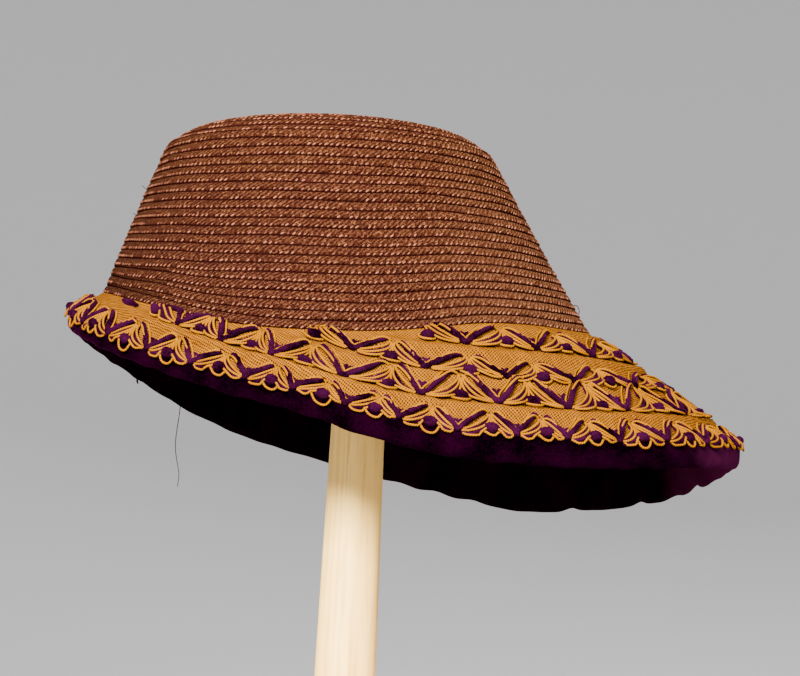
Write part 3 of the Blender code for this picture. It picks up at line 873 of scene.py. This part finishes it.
def bead_tree():
    """Straw ends on points, turned along the braid and outwards."""
    tree, n, given, out = new_group("Straw ends", "GeometryNodeTree", [
        ("Geometry", "Geometry", None), ("Finish", "Material", None), ("Seed", "Int", 5),
        ("Bead length", "Float", BEAD_LENGTH), ("Bead width", "Float", BEAD_WIDTH),
        ("Smallest", "Float", 0.80), ("Largest", "Float", 1.15),
    ], [("Geometry", "Geometry")])
    bead = n.add("GeometryNodeMeshUVSphere", {"Segments": 6, "Rings": 3, "Radius": 0.5})
    turned = n.add(
        "FunctionNodeAlignRotationToVector", {"Vector": n.named("along", "FLOAT_VECTOR")}, axis="Z",
    )
    turned = n.add("FunctionNodeAlignRotationToVector", {
        "Rotation": turned, "Vector": n.named("outward", "FLOAT_VECTOR"),
    }, axis="X", pivot_axis="Z")
    shape = n.joined(given["Bead width"], given["Bead width"], given["Bead length"])
    size = n.random(given["Smallest"], given["Largest"], given["Seed"])
    spread = n.add("GeometryNodeInstanceOnPoints", {
        "Points": given["Geometry"], "Instance": bead, "Rotation": turned,
        "Scale": n.scaled(shape, size),
    })
    # Random tone for each straw end; bead_finish paints its high values as a highlight and its low
    # ones as shade.
    shade = n.random(0.2, 1.0, n.sum("ADD", given["Seed"], 1.0))
    n.finished(n.stored(spread, "shade", shade, domain="INSTANCE"), given["Finish"], out[0])
    return tree


def cord_tree():
    """Round cords along lines of points; the attribute wide holds their radius."""
    tree, n, given, out = new_group("Cords along lines", "GeometryNodeTree", [
        ("Geometry", "Geometry", None), ("Finish", "Material", None), ("Sides", "Int", 6),
        ("Fuzz", "Float", 0.0), ("Fuzz scale", "Float", 1300.0),
    ], [("Geometry", "Geometry")])
    lines = n.add("GeometryNodeMeshToCurve", {"Mesh": given["Geometry"]})
    lines = n.stored(lines, "gone", n.outputs("GeometryNodeSplineParameter")["Length"])
    turn = n.sum("MULTIPLY", n.outputs("GeometryNodeSplineParameter")["Factor"], 2 * math.pi)
    ring = n.add("GeometryNodeCurvePrimitiveCircle", {"Resolution": given["Sides"], "Radius": 1.0})
    around = n.joined(n.sum("COSINE", turn), n.sum("SINE", turn), 0.0)
    tube = n.add("GeometryNodeCurveToMesh", {
        "Curve": lines, "Profile Curve": n.stored(ring, "ring", around, "FLOAT_VECTOR"),
        "Scale": n.named("wide"), "Fill Caps": True,
    })
    cosine, sine, _ = n.parts(n.named("ring", "FLOAT_VECTOR"))
    cord_turn = n.joined(cosine, sine, n.sum("DIVIDE", n.named("gone"), MM))
    tube = n.stored(tube, "cord_turn", cord_turn, "FLOAT_VECTOR")
    rough = n.noise(n.add("GeometryNodeInputPosition"), given["Fuzz scale"], 2.0, 0.6)
    push = n.sum("MULTIPLY", n.sum("SUBTRACT", rough, 0.5), given["Fuzz"])
    offset = n.scaled(n.add("GeometryNodeInputNormal"), push)
    fuzzy = n.add("GeometryNodeSetPosition", {"Geometry": tube, "Offset": offset})
    n.finished(fuzzy, given["Finish"], out[0])
    return tree


def run_tree(name, tree, points, edges, attributes, values):
    """Runs a tree on points and edges, and returns a plain mesh piece."""
    mesh = bpy.data.meshes.new(name + "_lines")
    mesh.from_pydata(np.asarray(points).tolist(), edges, [])
    for key, array in attributes.items():
        array = np.asarray(array, np.float32)
        kind, member = ("FLOAT_VECTOR", "vector") if array.ndim == 2 else ("FLOAT", "value")
        mesh.attributes.new(key, kind, "POINT").data.foreach_set(member, array.ravel())
    host = placed(name + "_lines", mesh)
    modifier = host.modifiers.new("Shape", "NODES")
    modifier.node_group = tree
    for item in tree.interface.items_tree:
        if item.in_out == "INPUT" and item.name in values:
            modifier[item.identifier] = values[item.name]
    bpy.context.view_layer.update()
    plain = as_mesh(host)
    plain.name = name
    bpy.data.objects.remove(host, do_unlink=True)
    bpy.data.meshes.remove(mesh)
    return placed(name, plain)


def unrolled(start, end):
    """Flat pattern of the brim: each ruling laid out beside the last one, front first."""
    flat_start = [np.array([0.0, 0.0])]
    length = np.linalg.norm(end - start, axis=1)
    flat_end = [np.array([0.0, -length[0]])]
    for i in range(1, len(start)):
        a, b = flat_end[-1], flat_start[-1]
        far = np.linalg.norm(start[i] - end[i - 1])
        near = np.linalg.norm(start[i] - start[i - 1])
        flat_start.append(corner(a, b, far, near))
        far = np.linalg.norm(end[i] - end[i - 1])
        near = np.linalg.norm(end[i] - start[i])
        flat_end.append(corner(a, flat_start[-1], far, near))
    return np.array(flat_start), np.array(flat_end)


def corner(a, b, from_a, from_b):
    """Third corner of a triangle, to the right of the line from a up to b."""
    line = b - a
    base = np.linalg.norm(line)
    x = (from_a ** 2 - from_b ** 2 + base ** 2) / (2 * base)
    y = math.sqrt(max(from_a ** 2 - x ** 2, 0.0))
    line = line / base
    return a + line * x + np.array([line[1], -line[0]]) * y


def build_straw_ends(rows, outer, normals, material):
    tree = bead_tree()
    for name, which in (
        ("straw_ends_top", range(1, DOME_ROWS)),
        ("straw_ends_side", range(DOME_ROWS, DOME_ROWS + WALL_ROWS)),
    ):
        places, ways, outs = bead_points(rows, outer, normals, which)
        values = {"along": ways, "outward": outs}
        finish_piece(run_tree(name, tree, places, [], values, {"Finish": material}), "straw")


def build_cover(material):
    theta = turns(COVER_STEPS)
    start, end, length = brim_line(theta)
    part = np.linspace(0.0, 1.0, COVER_COLUMNS)
    distance = length[:, None] * part[None, :]
    rng = np.random.default_rng(31)
    crease = np.zeros(distance.shape)
    for _ in range(5):
        waves = int(rng.integers(40, 110))
        slant = rng.uniform(-160, 160)
        crease += np.cos(waves * theta[:, None] + slant * distance / 0.08 + rng.uniform(0, 6.28))
    full = 0.35 + puff_height(theta[:, None], distance, length[:, None]) / PUFF
    held = smooth(0, 3 * MM, distance) * smooth(0, 4 * MM, length[:, None] - distance)
    lift = crease * CREASE * full * held
    top = brim_place(theta[:, None] * np.ones_like(distance), distance, lift)
    shares = np.array([0.0, 0.25, 0.5, 0.75, 1.0])
    under = [opening(theta, GAP), opening(theta, GAP + CLOTH)]
    under += [slope_point(theta, share, CLOTH) for share in shares]
    grid = np.concatenate([top, np.stack(under, axis=1)], axis=1)
    count, columns = grid.shape[:2]
    faces = ring_faces(count, columns, True)
    order = list(range(count)) + [0]
    cosine, sine = math.cos(WEAVE_ANGLE), math.sin(WEAVE_ANGLE)
    spin = np.array([[cosine, sine], [-sine, cosine]]) / THREAD_PITCH
    flat_start, flat_end = (flat @ spin for flat in unrolled(start[order], end[order]))
    shares = np.concatenate([part, [1.0, 1.0], 1 - shares])
    cloth = flat_end[:, None] + (flat_start - flat_end)[:, None] * shares[None, :, None]
    i, j = np.arange(count)[:, None], np.arange(columns)[None, :]
    j2 = (j + 1) % columns
    uv = np.stack([cloth[i, j], cloth[i, j2], cloth[i + 1, j2], cloth[i + 1, j]], axis=2)
    points, uv = grid.reshape(-1, 3), uv.reshape(-1, 4, 2)
    if volume_sign(points, faces) < 0:
        faces, uv = faces[:, ::-1], uv[:, ::-1]
    piece = new_piece("tan_cover", points, faces.tolist(), material, uv.reshape(-1, 2))
    finish_piece(piece, "cloth", "brim_cover")


def build_velvet(material):
    """Gathered lining under the brim, with a full roll at its edge."""
    count = LINING_STEPS
    theta = turns(count)
    start, end, length = brim_line(theta)
    rng = np.random.default_rng(41)
    drop = CLOTH + GAP
    edge_normal = brim_normal(theta, np.ones(count))
    outwards = unit(end - start)
    fall = unit(edge_normal * ROLL_LEAN_SHARE + np.array([0.0, 0.0, 1 - ROLL_LEAN_SHARE]))
    deep = ROLL_DEPTH * on_curve(ROLL_LINE, from_front(theta))
    hang = ROLL_HANG * on_curve(HANG_LINE, from_front(theta))
    deep = deep + np.where(np.sin(theta) > 0, hang, 0.0)
    pinch = np.zeros(count)
    for angle, nip in NOTCHES:
        pinch += nip * np.exp(-((np.degrees(theta) - angle) / 1.8) ** 2)
    deep = deep * (1 - pinch) + 0.4 * MM * ripples(theta, 4, 24, 60, rng)
    width = np.minimum(ROLL_WIDTH, ROLL_SHARE * length / 0.65)
    edge = end - edge_normal * drop
    gather = ripples(theta, 3, 70, 95, rng)
    fold = np.abs(np.sin(theta * LINING_FOLDS / 2 + 0.8 * ripples(theta, 3, 3, 12, rng)))
    zero = np.zeros(count)
    rows = [end + outwards * 0.25 * MM]
    # The lap over the edge: mm from the edge, mm over the cloth.
    for distance, height in ((1.6, 0.20), (3.6, 0.15), (4.0, 0.55), (2.6, 1.25), (0.9, 1.45)):
        wave = 0.25 * MM * gather if distance > 3 else 0.0
        rows.append(brim_place(theta, zero + distance * MM + wave, zero + height * MM))
    # The roll: share of ROLL_OUT outwards, share of its width inwards, share of its depth down.
    for out, inwards, down in (
        (0.62, 0.00, -0.06), (0.95, 0.00, 0.25), (1.08, 0.00, 0.48), (1.00, 0.00, 0.70),
        (0.62, 0.00, 0.90), (0.05, 0.03, 1.00), (0.00, 0.16, 1.00), (0.00, 0.32, 0.94),
        (0.00, 0.48, 0.80), (0.00, 0.64, 0.62),
    ):
        bulge = math.sin(math.pi * min(down, 1.0))
        reach = out * ROLL_OUT + 0.18 * MM * gather * bulge - inwards * width
        depth = down * deep - (0.9 * MM * fold * inwards / 0.64)
        rows.append(edge + outwards * reach[:, None] - fall * depth[:, None])
    # The gathers: share of the way from the crown, mm thick, mm that the folds take off.
    for share, thick, folded in (
        (0.78, 3.2, 1.5), (0.66, 3.0, 1.6), (0.5, 2.8, 1.6), (0.34, 2.8, 1.5), (0.18, 2.7, 1.2),
        (0.05, 2.6, 0.7),
    ):
        limit = 1 - 0.64 * width / length
        down = drop + (thick + 0.5 - folded * fold) * MM
        rows.append(slope_point(theta, np.minimum(share, limit * share / 0.8), down[:, None]))
    rows += [opening(theta, GAP + drop + LINING), opening(theta, GAP + drop)]
    rows += [slope_point(theta, share, drop) for share in (0.0, 0.33, 0.66, 0.995)]
    points = np.stack(rows, axis=1).reshape(-1, 3)
    faces = ring_faces(count, len(rows), True)
    if volume_sign(points, faces) < 0:
        faces = faces[:, ::-1]
    piece = new_piece("velvet_lining", points, faces, material)
    finer = piece.modifiers.new("Finer", "SUBSURF")
    finer.levels = finer.render_levels = 1
    plain = as_mesh(piece)
    piece.modifiers.clear()
    piece.data = plain
    finish_piece(piece, "velvet", "velvet_facing")


def bezier(handles, steps):
    t = np.linspace(0.0, 1.0, steps)[:, None]
    a, b, c, d = (np.array(h) for h in handles)
    return (1 - t) ** 3 * a + 3 * (1 - t) ** 2 * t * b + 3 * (1 - t) * t ** 2 * c + t ** 3 * d


def through(points, steps):
    """Smooth line through points, with a number of steps between each pair."""
    p = np.array(points, float)
    padded = np.concatenate([[2 * p[0] - p[1]], p, [2 * p[-1] - p[-2]]])
    made = []
    for k in range(len(p) - 1):
        a, b, c, d = padded[k:k + 4]
        last = k == len(p) - 2
        t = np.linspace(0.0, 1.0, steps + 1)[: steps + 1 if last else steps, None]
        curved = (2 * a - 5 * b + 4 * c - d) * t ** 2 + (3 * b - a - 3 * c + d) * t ** 3
        made.append(0.5 * (2 * b + (c - a) * t + curved))
    return np.concatenate(made)


class Lines:
    """Gathers the lines of one piece of cord, each with its radius at every point."""

    def __init__(self):
        self.points, self.edges, self.wide = [], [], []
        self.count = 0

    def add(self, points, radius, blunt=False):
        size = len(points)
        if blunt:
            ends = np.minimum(np.arange(size), np.arange(size)[::-1])
            radius = radius * np.interp(ends, (0, 1, 2), (0.30, 0.82, 1.0))
        self.points.append(points)
        self.wide.append(np.broadcast_to(radius, (size,)))
        self.edges += [(self.count + k, self.count + k + 1) for k in range(size - 1)]
        self.count += size

    def build(self, tree, name, finish, slot_name, *nodes, sides=6, fuzz=0.0):
        """Sweeps cords along the lines, all in one piece."""
        piece = run_tree(
            name, tree, np.concatenate(self.points), self.edges,
            {"wide": np.concatenate(self.wide)}, {"Sides": sides, "Fuzz": fuzz, "Finish": finish},
        )
        finish_piece(piece, slot_name, *nodes)


def brim_spot(angle, distance, height):
    """Point over the brim, from degrees, mm up from its edge and mm over the cloth."""
    return brim_place(np.radians(angle), distance * MM, height * MM)


def trim_place(middle, angle, v, h):
    """Point of the trim: degrees along the row, v mm up from its middle, h mm over the cloth."""
    return brim_spot(straightened(angle, middle, v), on_line(middle, angle) + v, h)


def trim_motif(gold, purple, rng, middle, tall, left, right, first, last):
    """One peak with its two wings, and the blob and the loop under it."""
    peak = (left + right) / 2 + rng.uniform(-0.07, 0.07) * (right - left)
    grow = rng.uniform(0.92, 1.08)
    lowest = -on_line(middle, peak) - 0.6

    def on_row(side_share, v, h):
        """Points: side_share runs from -1 at the left valley over 0 at the peak to 1."""
        reach = np.where(side_share < 0, peak - left, right - peak)
        return trim_place(middle, peak + side_share * reach, v, h)

    for side, wing, left_out in ((-1, LEFT_WING, first), (1, RIGHT_WING, last)):
        if left_out:
            continue
        above = None
        for level, handles in enumerate(wing):
            line = bezier(handles, 15)
            line = line + rng.normal(0, 1, 2) * np.array([0.008, 0.16])
            bow = arch(len(line))
            line[:, 1] = line[:, 1] * grow * tall + bow * rng.uniform(-0.3, 0.3)
            line[:, 1] -= np.minimum(line[:, 1] - lowest, 0.0) * 0.85
            height = 0.75 + bow * (1.35 + 0.18 * level + rng.uniform(-0.15, 0.25))
            gold.add(on_row(side * line[:, 0], line[:, 1], height), GOLD_RADIUS)
            # Purple strand under each gap between the gold cords: partly the trim's own purple,
            # partly a dark fill that paints the shadow between the cords.
            if above is not None and level < 3:
                under = (line + above) / 2
                purple.add(on_row(side * under[:, 0], under[:, 1], height - 0.85), UNDER_RADIUS)
            above = line
    reach = 3.0 / (math.radians(right - left) / 2 * MEAN_RADIUS)
    shift = rng.uniform(-0.02, 0.10)
    droop = rng.uniform(-0.8, 0.6)
    blob, loop = through(BLOB, 3), through(LOOP, 4)
    thick = CHENILLE_RADIUS * on_line(BLOB_WIDTH, np.linspace(0, 1, len(blob)))
    spots = on_row(shift + blob[:, 0] * reach * 0.75, blob[:, 1] * tall + droop, blob[:, 2])
    purple.add(spots, thick)
    gold.add(on_row(shift + loop[:, 0] * reach, loop[:, 1] * tall + droop, loop[:, 2]), GOLD_RADIUS)
    return peak


def valley_lines(gold, purple, rng, middle, tall, peaks, valley):
    """The purple strand and the fine gold line that run down into a valley and up again."""

    def shaken(table, shake, steps):
        spots = []
        for side, share, v in table:
            peak = peaks[1 if side > 0 else 0]
            spots.append((peak + share * (valley - peak), v * tall))
        spots = np.array(spots)
        spots[1:-1] += rng.normal(0, 1, (len(spots) - 2, 2)) * np.array(shake)
        return through(spots, steps)

    line = shaken(STRAND, (0.12, 0.35), 6)
    bow = arch(len(line)) ** 0.5
    height = 0.9 + 0.5 * bow + 0.5 * np.sin(np.linspace(0, 2 * math.pi, len(line))) ** 2
    wide = CHENILLE_RADIUS * (0.75 + 0.30 * bow) * rng.uniform(0.92, 1.08)
    purple.add(trim_place(middle, line[:, 0], line[:, 1], height), wide, True)
    line = shaken(FINE_LINE, (0.08, 0.25), 4)
    gold.add(trim_place(middle, line[:, 0], line[:, 1], 0.6 + arch(len(line)) ** 2), FINE_RADIUS)
    line = through(((valley - 0.7, tall), (valley, -0.2 * tall), (valley + 0.7, tall)), 3)
    purple.add(trim_place(middle, line[:, 0], line[:, 1], np.full(len(line), 0.5)), 1.0 * MM)


def build_trim(tree, row, gold_finished, purple_finished):
    number, middle, tall, span, valleys = row
    rng = np.random.default_rng(50 + number)
    gold, purple = Lines(), Lines()
    stops, has_ends = list(valleys), span is not None
    if has_ends:
        stops = [2 * span[0] - valleys[0]] + stops + [2 * span[1] - valleys[-1]]
    last = len(stops) - 2
    peaks = [
        trim_motif(
            gold, purple, rng, middle, tall, stops[k], stops[k + 1],
            has_ends and k == 0, has_ends and k == last,
        )
        for k in range(last + 1)
    ]
    if number == 2:
        for cut_end in CUT_ENDS:
            line = through(cut_end, 4)
            gold.add(brim_spot(line[:, 0], line[:, 1], line[:, 2]), FINE_RADIUS)
    if number == 3:
        across = np.linspace(-3.6, 3.6, 7)
        knot = brim_spot(KNOT[0] + across, np.full(7, KNOT[1]), np.full(7, 0.4))
        purple.add(knot, CHENILLE_RADIUS * (1.5 - 0.05 * across ** 2))
    for k in range(1, last + 1):
        valley_lines(gold, purple, rng, middle, tall, (peaks[k - 1], peaks[k]), stops[k])
    if not has_ends:
        valley_lines(gold, purple, rng, middle, tall, (peaks[-1], peaks[0] + 360), stops[-1])
    node = f"loop_trim_{number}"
    gold.build(tree, f"gold_cord_{number}", gold_finished, "gimp", node)
    purple.build(
        tree, f"purple_chenille_{number}", purple_finished, "velvet", node, sides=12, fuzz=1.9 * MM,
    )


def build_wisps(tree, material):
    """Loose straw ends on the crown, and the one that curls off its front."""
    lines = Lines()
    rng = np.random.default_rng(61)
    top = BRIM_HEIGHT + TOP_HEIGHT + TOP_TILT
    low = float(base_height(np.array(0.0)))
    at = wall_point(np.array(0.0), np.array((top - CURL_HEIGHT) / (top - low)))
    curl = through(CURL_LINE, 5) * MM
    lines.add(stacked(at[0] + curl[:, 0], at[1], at[2] + curl[:, 1]), 0.20 * MM)
    for _ in range(WISPS):
        theta, share = rng.uniform(-math.pi, math.pi), rng.uniform(0.05, 0.95)
        here = wall_point(np.array(theta), np.array(share), 0.3 * MM)
        there = wall_point(np.array(theta + 0.03), np.array(share), 0.3 * MM)
        out = wall_point(np.array(theta), np.array(share), 1.3 * MM) - here
        way = unit(there - here) + unit(out) * rng.uniform(0.25, 0.6)
        way = way + np.array([0.0, 0.0, rng.uniform(-0.4, 0.8)])
        t = np.linspace(0.0, 1.0, 6)[:, None]
        bend = rng.normal(0, 0.35, 3)
        swung = unit(way) * t + bend * t * t * 0.5
        lines.add(here + swung * WISP_LENGTH * rng.uniform(0.6, 1.2), 0.16 * MM)
    lines.build(tree, "straw_wisps", material, "straw", sides=5)


def build_tuft(tree, material):
    """Small tuft of pile that sticks out under the far edge of the lining."""
    end = brim_line(np.array(math.radians(TUFT_ANGLE)))[1]
    hang = ROLL_HANG * on_curve(HANG_LINE, TUFT_ANGLE)
    depth = ROLL_DEPTH * on_curve(ROLL_LINE, TUFT_ANGLE) + hang
    lines = Lines()
    for row in TUFT_LINES:
        lines.add(end - np.array([0.0, 0.0, depth]) + through(row, 4) * MM, 0.5 * MM, True)
    lines.build(tree, "velvet_tuft", material, "velvet")


def build_stray_thread():
    """Grey thread that hangs from the lining's far side."""
    start, end, _ = brim_line(np.array(math.radians(STRAY_ANGLE)))
    exit_point = end + unit(start - end) * STRAY_IN - np.array([0.0, 0.0, STRAY_DOWN])
    s = np.linspace(0.0, STRAY_LENGTH / MM, STRAY_STEPS)
    aside = on_curve(STRAY_LINE, s)
    for _ in range(4):
        steps = np.hypot(np.diff(s), np.diff(aside))
        s = s * (STRAY_LENGTH / MM) / steps.sum()
        aside = on_curve(STRAY_LINE, s)
    data = bpy.data.curves.new("stray_thread", "CURVE")
    data.dimensions = "3D"
    data.bevel_depth = STRAY_WIDTH / 2
    data.bevel_resolution = 2
    spline = data.splines.new("POLY")
    spline.points.add(STRAY_STEPS - 1)
    for point, across, down in zip(spline.points, aside, s):
        point.co = (*(exit_point + np.array([across * MM, 0.0, -down * MM])), 1.0)
    n = Finish("grey_thread", 0.7, specular=0.2)
    twist = n.noise(n.place(), 2500.0, 2.0, 0.6)
    data.materials.append(n.dress(n.blend(twist, colour(58, 46, 38), colour(26, 18, 14))))
    piece = placed("stray_thread", data)
    finish_piece(piece, "gimp")


def swept(profile):
    """Rings of points round the axis, from radius and height pairs."""
    turn = turns(TURNED_STEPS)
    return np.stack([stacked(r * np.cos(turn), r * np.sin(turn), z) for r, z in profile], axis=1)


def lathed(name, profile, material, node):
    """Turned piece from radius and height pairs, first and last on the axis."""
    grid = swept(profile[1:-1])
    count, columns = grid.shape[:2]
    faces, points = ring_faces(count, columns, False), grid.reshape(-1, 3)
    turned = volume_sign(points, faces) < 0
    tips = [[0.0, 0.0, profile[end][1]] for end in (0, -1)]
    points, fans = end_fans(points, count, columns, turned, tips)
    faces = (faces[:, ::-1] if turned else faces).tolist() + fans
    finish_piece(new_piece(name, points, faces, material), "wood", node)


def build_stand(material):
    taper = (POLE_TOP_RADIUS - POLE_FOOT_RADIUS) / (BRIM_HEIGHT + TOP_HEIGHT)

    def pole_radius(height):
        return POLE_FOOT_RADIUS + taper * height

    rise = float(on_line(DOME_LINE, abs(TOP_CENTRE) / (TOP_LENGTH / 2)))
    top = BRIM_HEIGHT + TOP_HEIGHT - WALL + DOME_RISE * rise - GAP
    low = top - REST_HEIGHT
    pole_top = low + SOCKET
    heights = np.linspace(POLE_FOOT, pole_top, 40)
    pole = [(0.0, POLE_FOOT)] + [(pole_radius(z), z) for z in heights] + [(0.0, pole_top)]
    lathed("wooden_pole", pole, material, "stand_pole")
    turn = np.radians(np.linspace(-90, 90, 9))
    foot, mouth = pole_radius(POLE_FOOT), pole_radius(STAND_THICKNESS)
    base = [(0.0, 0.0), (STAND_RADIUS - STAND_ROUND, 0.0)]
    for angles, z in ((turn[1:5], STAND_ROUND), (turn[4:], STAND_THICKNESS - STAND_ROUND)):
        for a in angles:
            across = STAND_RADIUS - STAND_ROUND + STAND_ROUND * math.cos(a)
            base.append((across, z + STAND_ROUND * math.sin(a)))
    base += [(r, STAND_THICKNESS) for r in (0.060, 0.045, 0.030, 0.020)]
    base += [(mouth + GAP, STAND_THICKNESS), (foot + GAP, POLE_FOOT - GAP), (0.0, POLE_FOOT - GAP)]
    lathed("wooden_base", base, material, "stand_base")
    hole = pole_radius(pole_top) + GAP
    rest = [(0.0, pole_top + GAP), (hole, pole_top + GAP), (pole_radius(low) + GAP, low)]
    rest += [(REST_RADIUS * r, low + REST_HEIGHT * h) for r, h in REST_LINE] + [(0.0, top)]
    lathed("wooden_rest", rest, material, "stand_head")


def build_room():
    """A round pale floor that curves up into a plain wall, soft lights and the camera."""
    profile = [(0.02, 0.0), (0.4, 0.0), (1.0, 0.0), (1.9, 0.0)]
    for k in range(1, 13):
        a = math.radians(90 * k / 12)
        profile.append((1.9 + 1.2 * math.sin(a), 1.2 - 1.2 * math.cos(a)))
    profile += [(3.1, 2.0), (3.1, 3.2)]
    points = swept([(r, z - FLOOR_DOWN) for r, z in profile]).reshape(-1, 3)
    faces = ring_faces(TURNED_STEPS, len(profile), False)[:, ::-1].tolist()
    faces.append([i * len(profile) for i in range(TURNED_STEPS)])
    n = Finish("studio_grey", 0.9, specular=0.1)
    # Painted light: the grey is a little lighter low down and darker higher up the wall, standing
    # in for the way the light falls off with height.
    height = n.spread(n.parts(n.place())[2], 0.2, 1.1)
    grey = n.dress(n.blend(height, colour(140, 140, 143), colour(134, 134, 137)))
    new_piece("studio_floor", points, faces, grey)
    world = bpy.data.worlds.new("Studio")
    world.use_nodes = True
    sky = world.node_tree.nodes["Background"].inputs
    sky[0].default_value, sky[1].default_value = (0.95, 0.97, 1.0, 1.0), 0.55
    bpy.context.scene.world = world
    for name, place, size, power, tint in LIGHTS:
        lamp = bpy.data.lights.new(name, "AREA")
        lamp.size, lamp.energy, lamp.color = size, power, tint
        holder = placed(name, lamp)
        holder.location = place
        holder.rotation_euler = (LIT - Vector(place)).to_track_quat("-Z", "Y").to_euler()
        holder.visible_camera = False
    view = bpy.data.cameras.new("view")
    view.lens, view.sensor_width, view.clip_end = LENS, 36.0, 50.0
    camera = placed("view", view)
    forward = Vector((0.0, math.cos(PITCH), math.sin(PITCH)))
    level, high = Vector((1.0, 0.0, 0.0)), Vector((0.0, -math.sin(PITCH), math.cos(PITCH)))
    right = level * math.cos(ROLL) + high * math.sin(ROLL)
    up = high * math.cos(ROLL) - level * math.sin(ROLL)
    turned = Matrix((right, up, -forward)).transposed()
    camera.matrix_world = Matrix.Translation(TARGET - forward * DISTANCE) @ turned.to_4x4()
    bpy.context.scene.camera = camera


build_room()
wood = wood_finish()
straw = braid_finish()
straw_ends = bead_finish()
cloth = cover_finish()
# The velvet's last tone is painted light on the front of the roll.
velvet = velvet_finish("purple_velvet", (1, 0, 1), (14, 0, 9), 900.0, 0.05, (54, 10, 38))
chenille = velvet_finish("purple_chenille", (5, 0, 3), (34, 4, 26), 1100.0, 0.06)
gold_cord = gold_finish()

build_stand(wood)
build_straw_ends(*build_crown(straw), straw_ends)
build_cover(cloth)
build_velvet(velvet)
cords = cord_tree()
for trim_row in TRIM_ROWS:
    build_trim(cords, trim_row, gold_cord, chenille)
build_wisps(cords, straw_ends)
build_tuft(cords, chenille)
build_stray_thread()
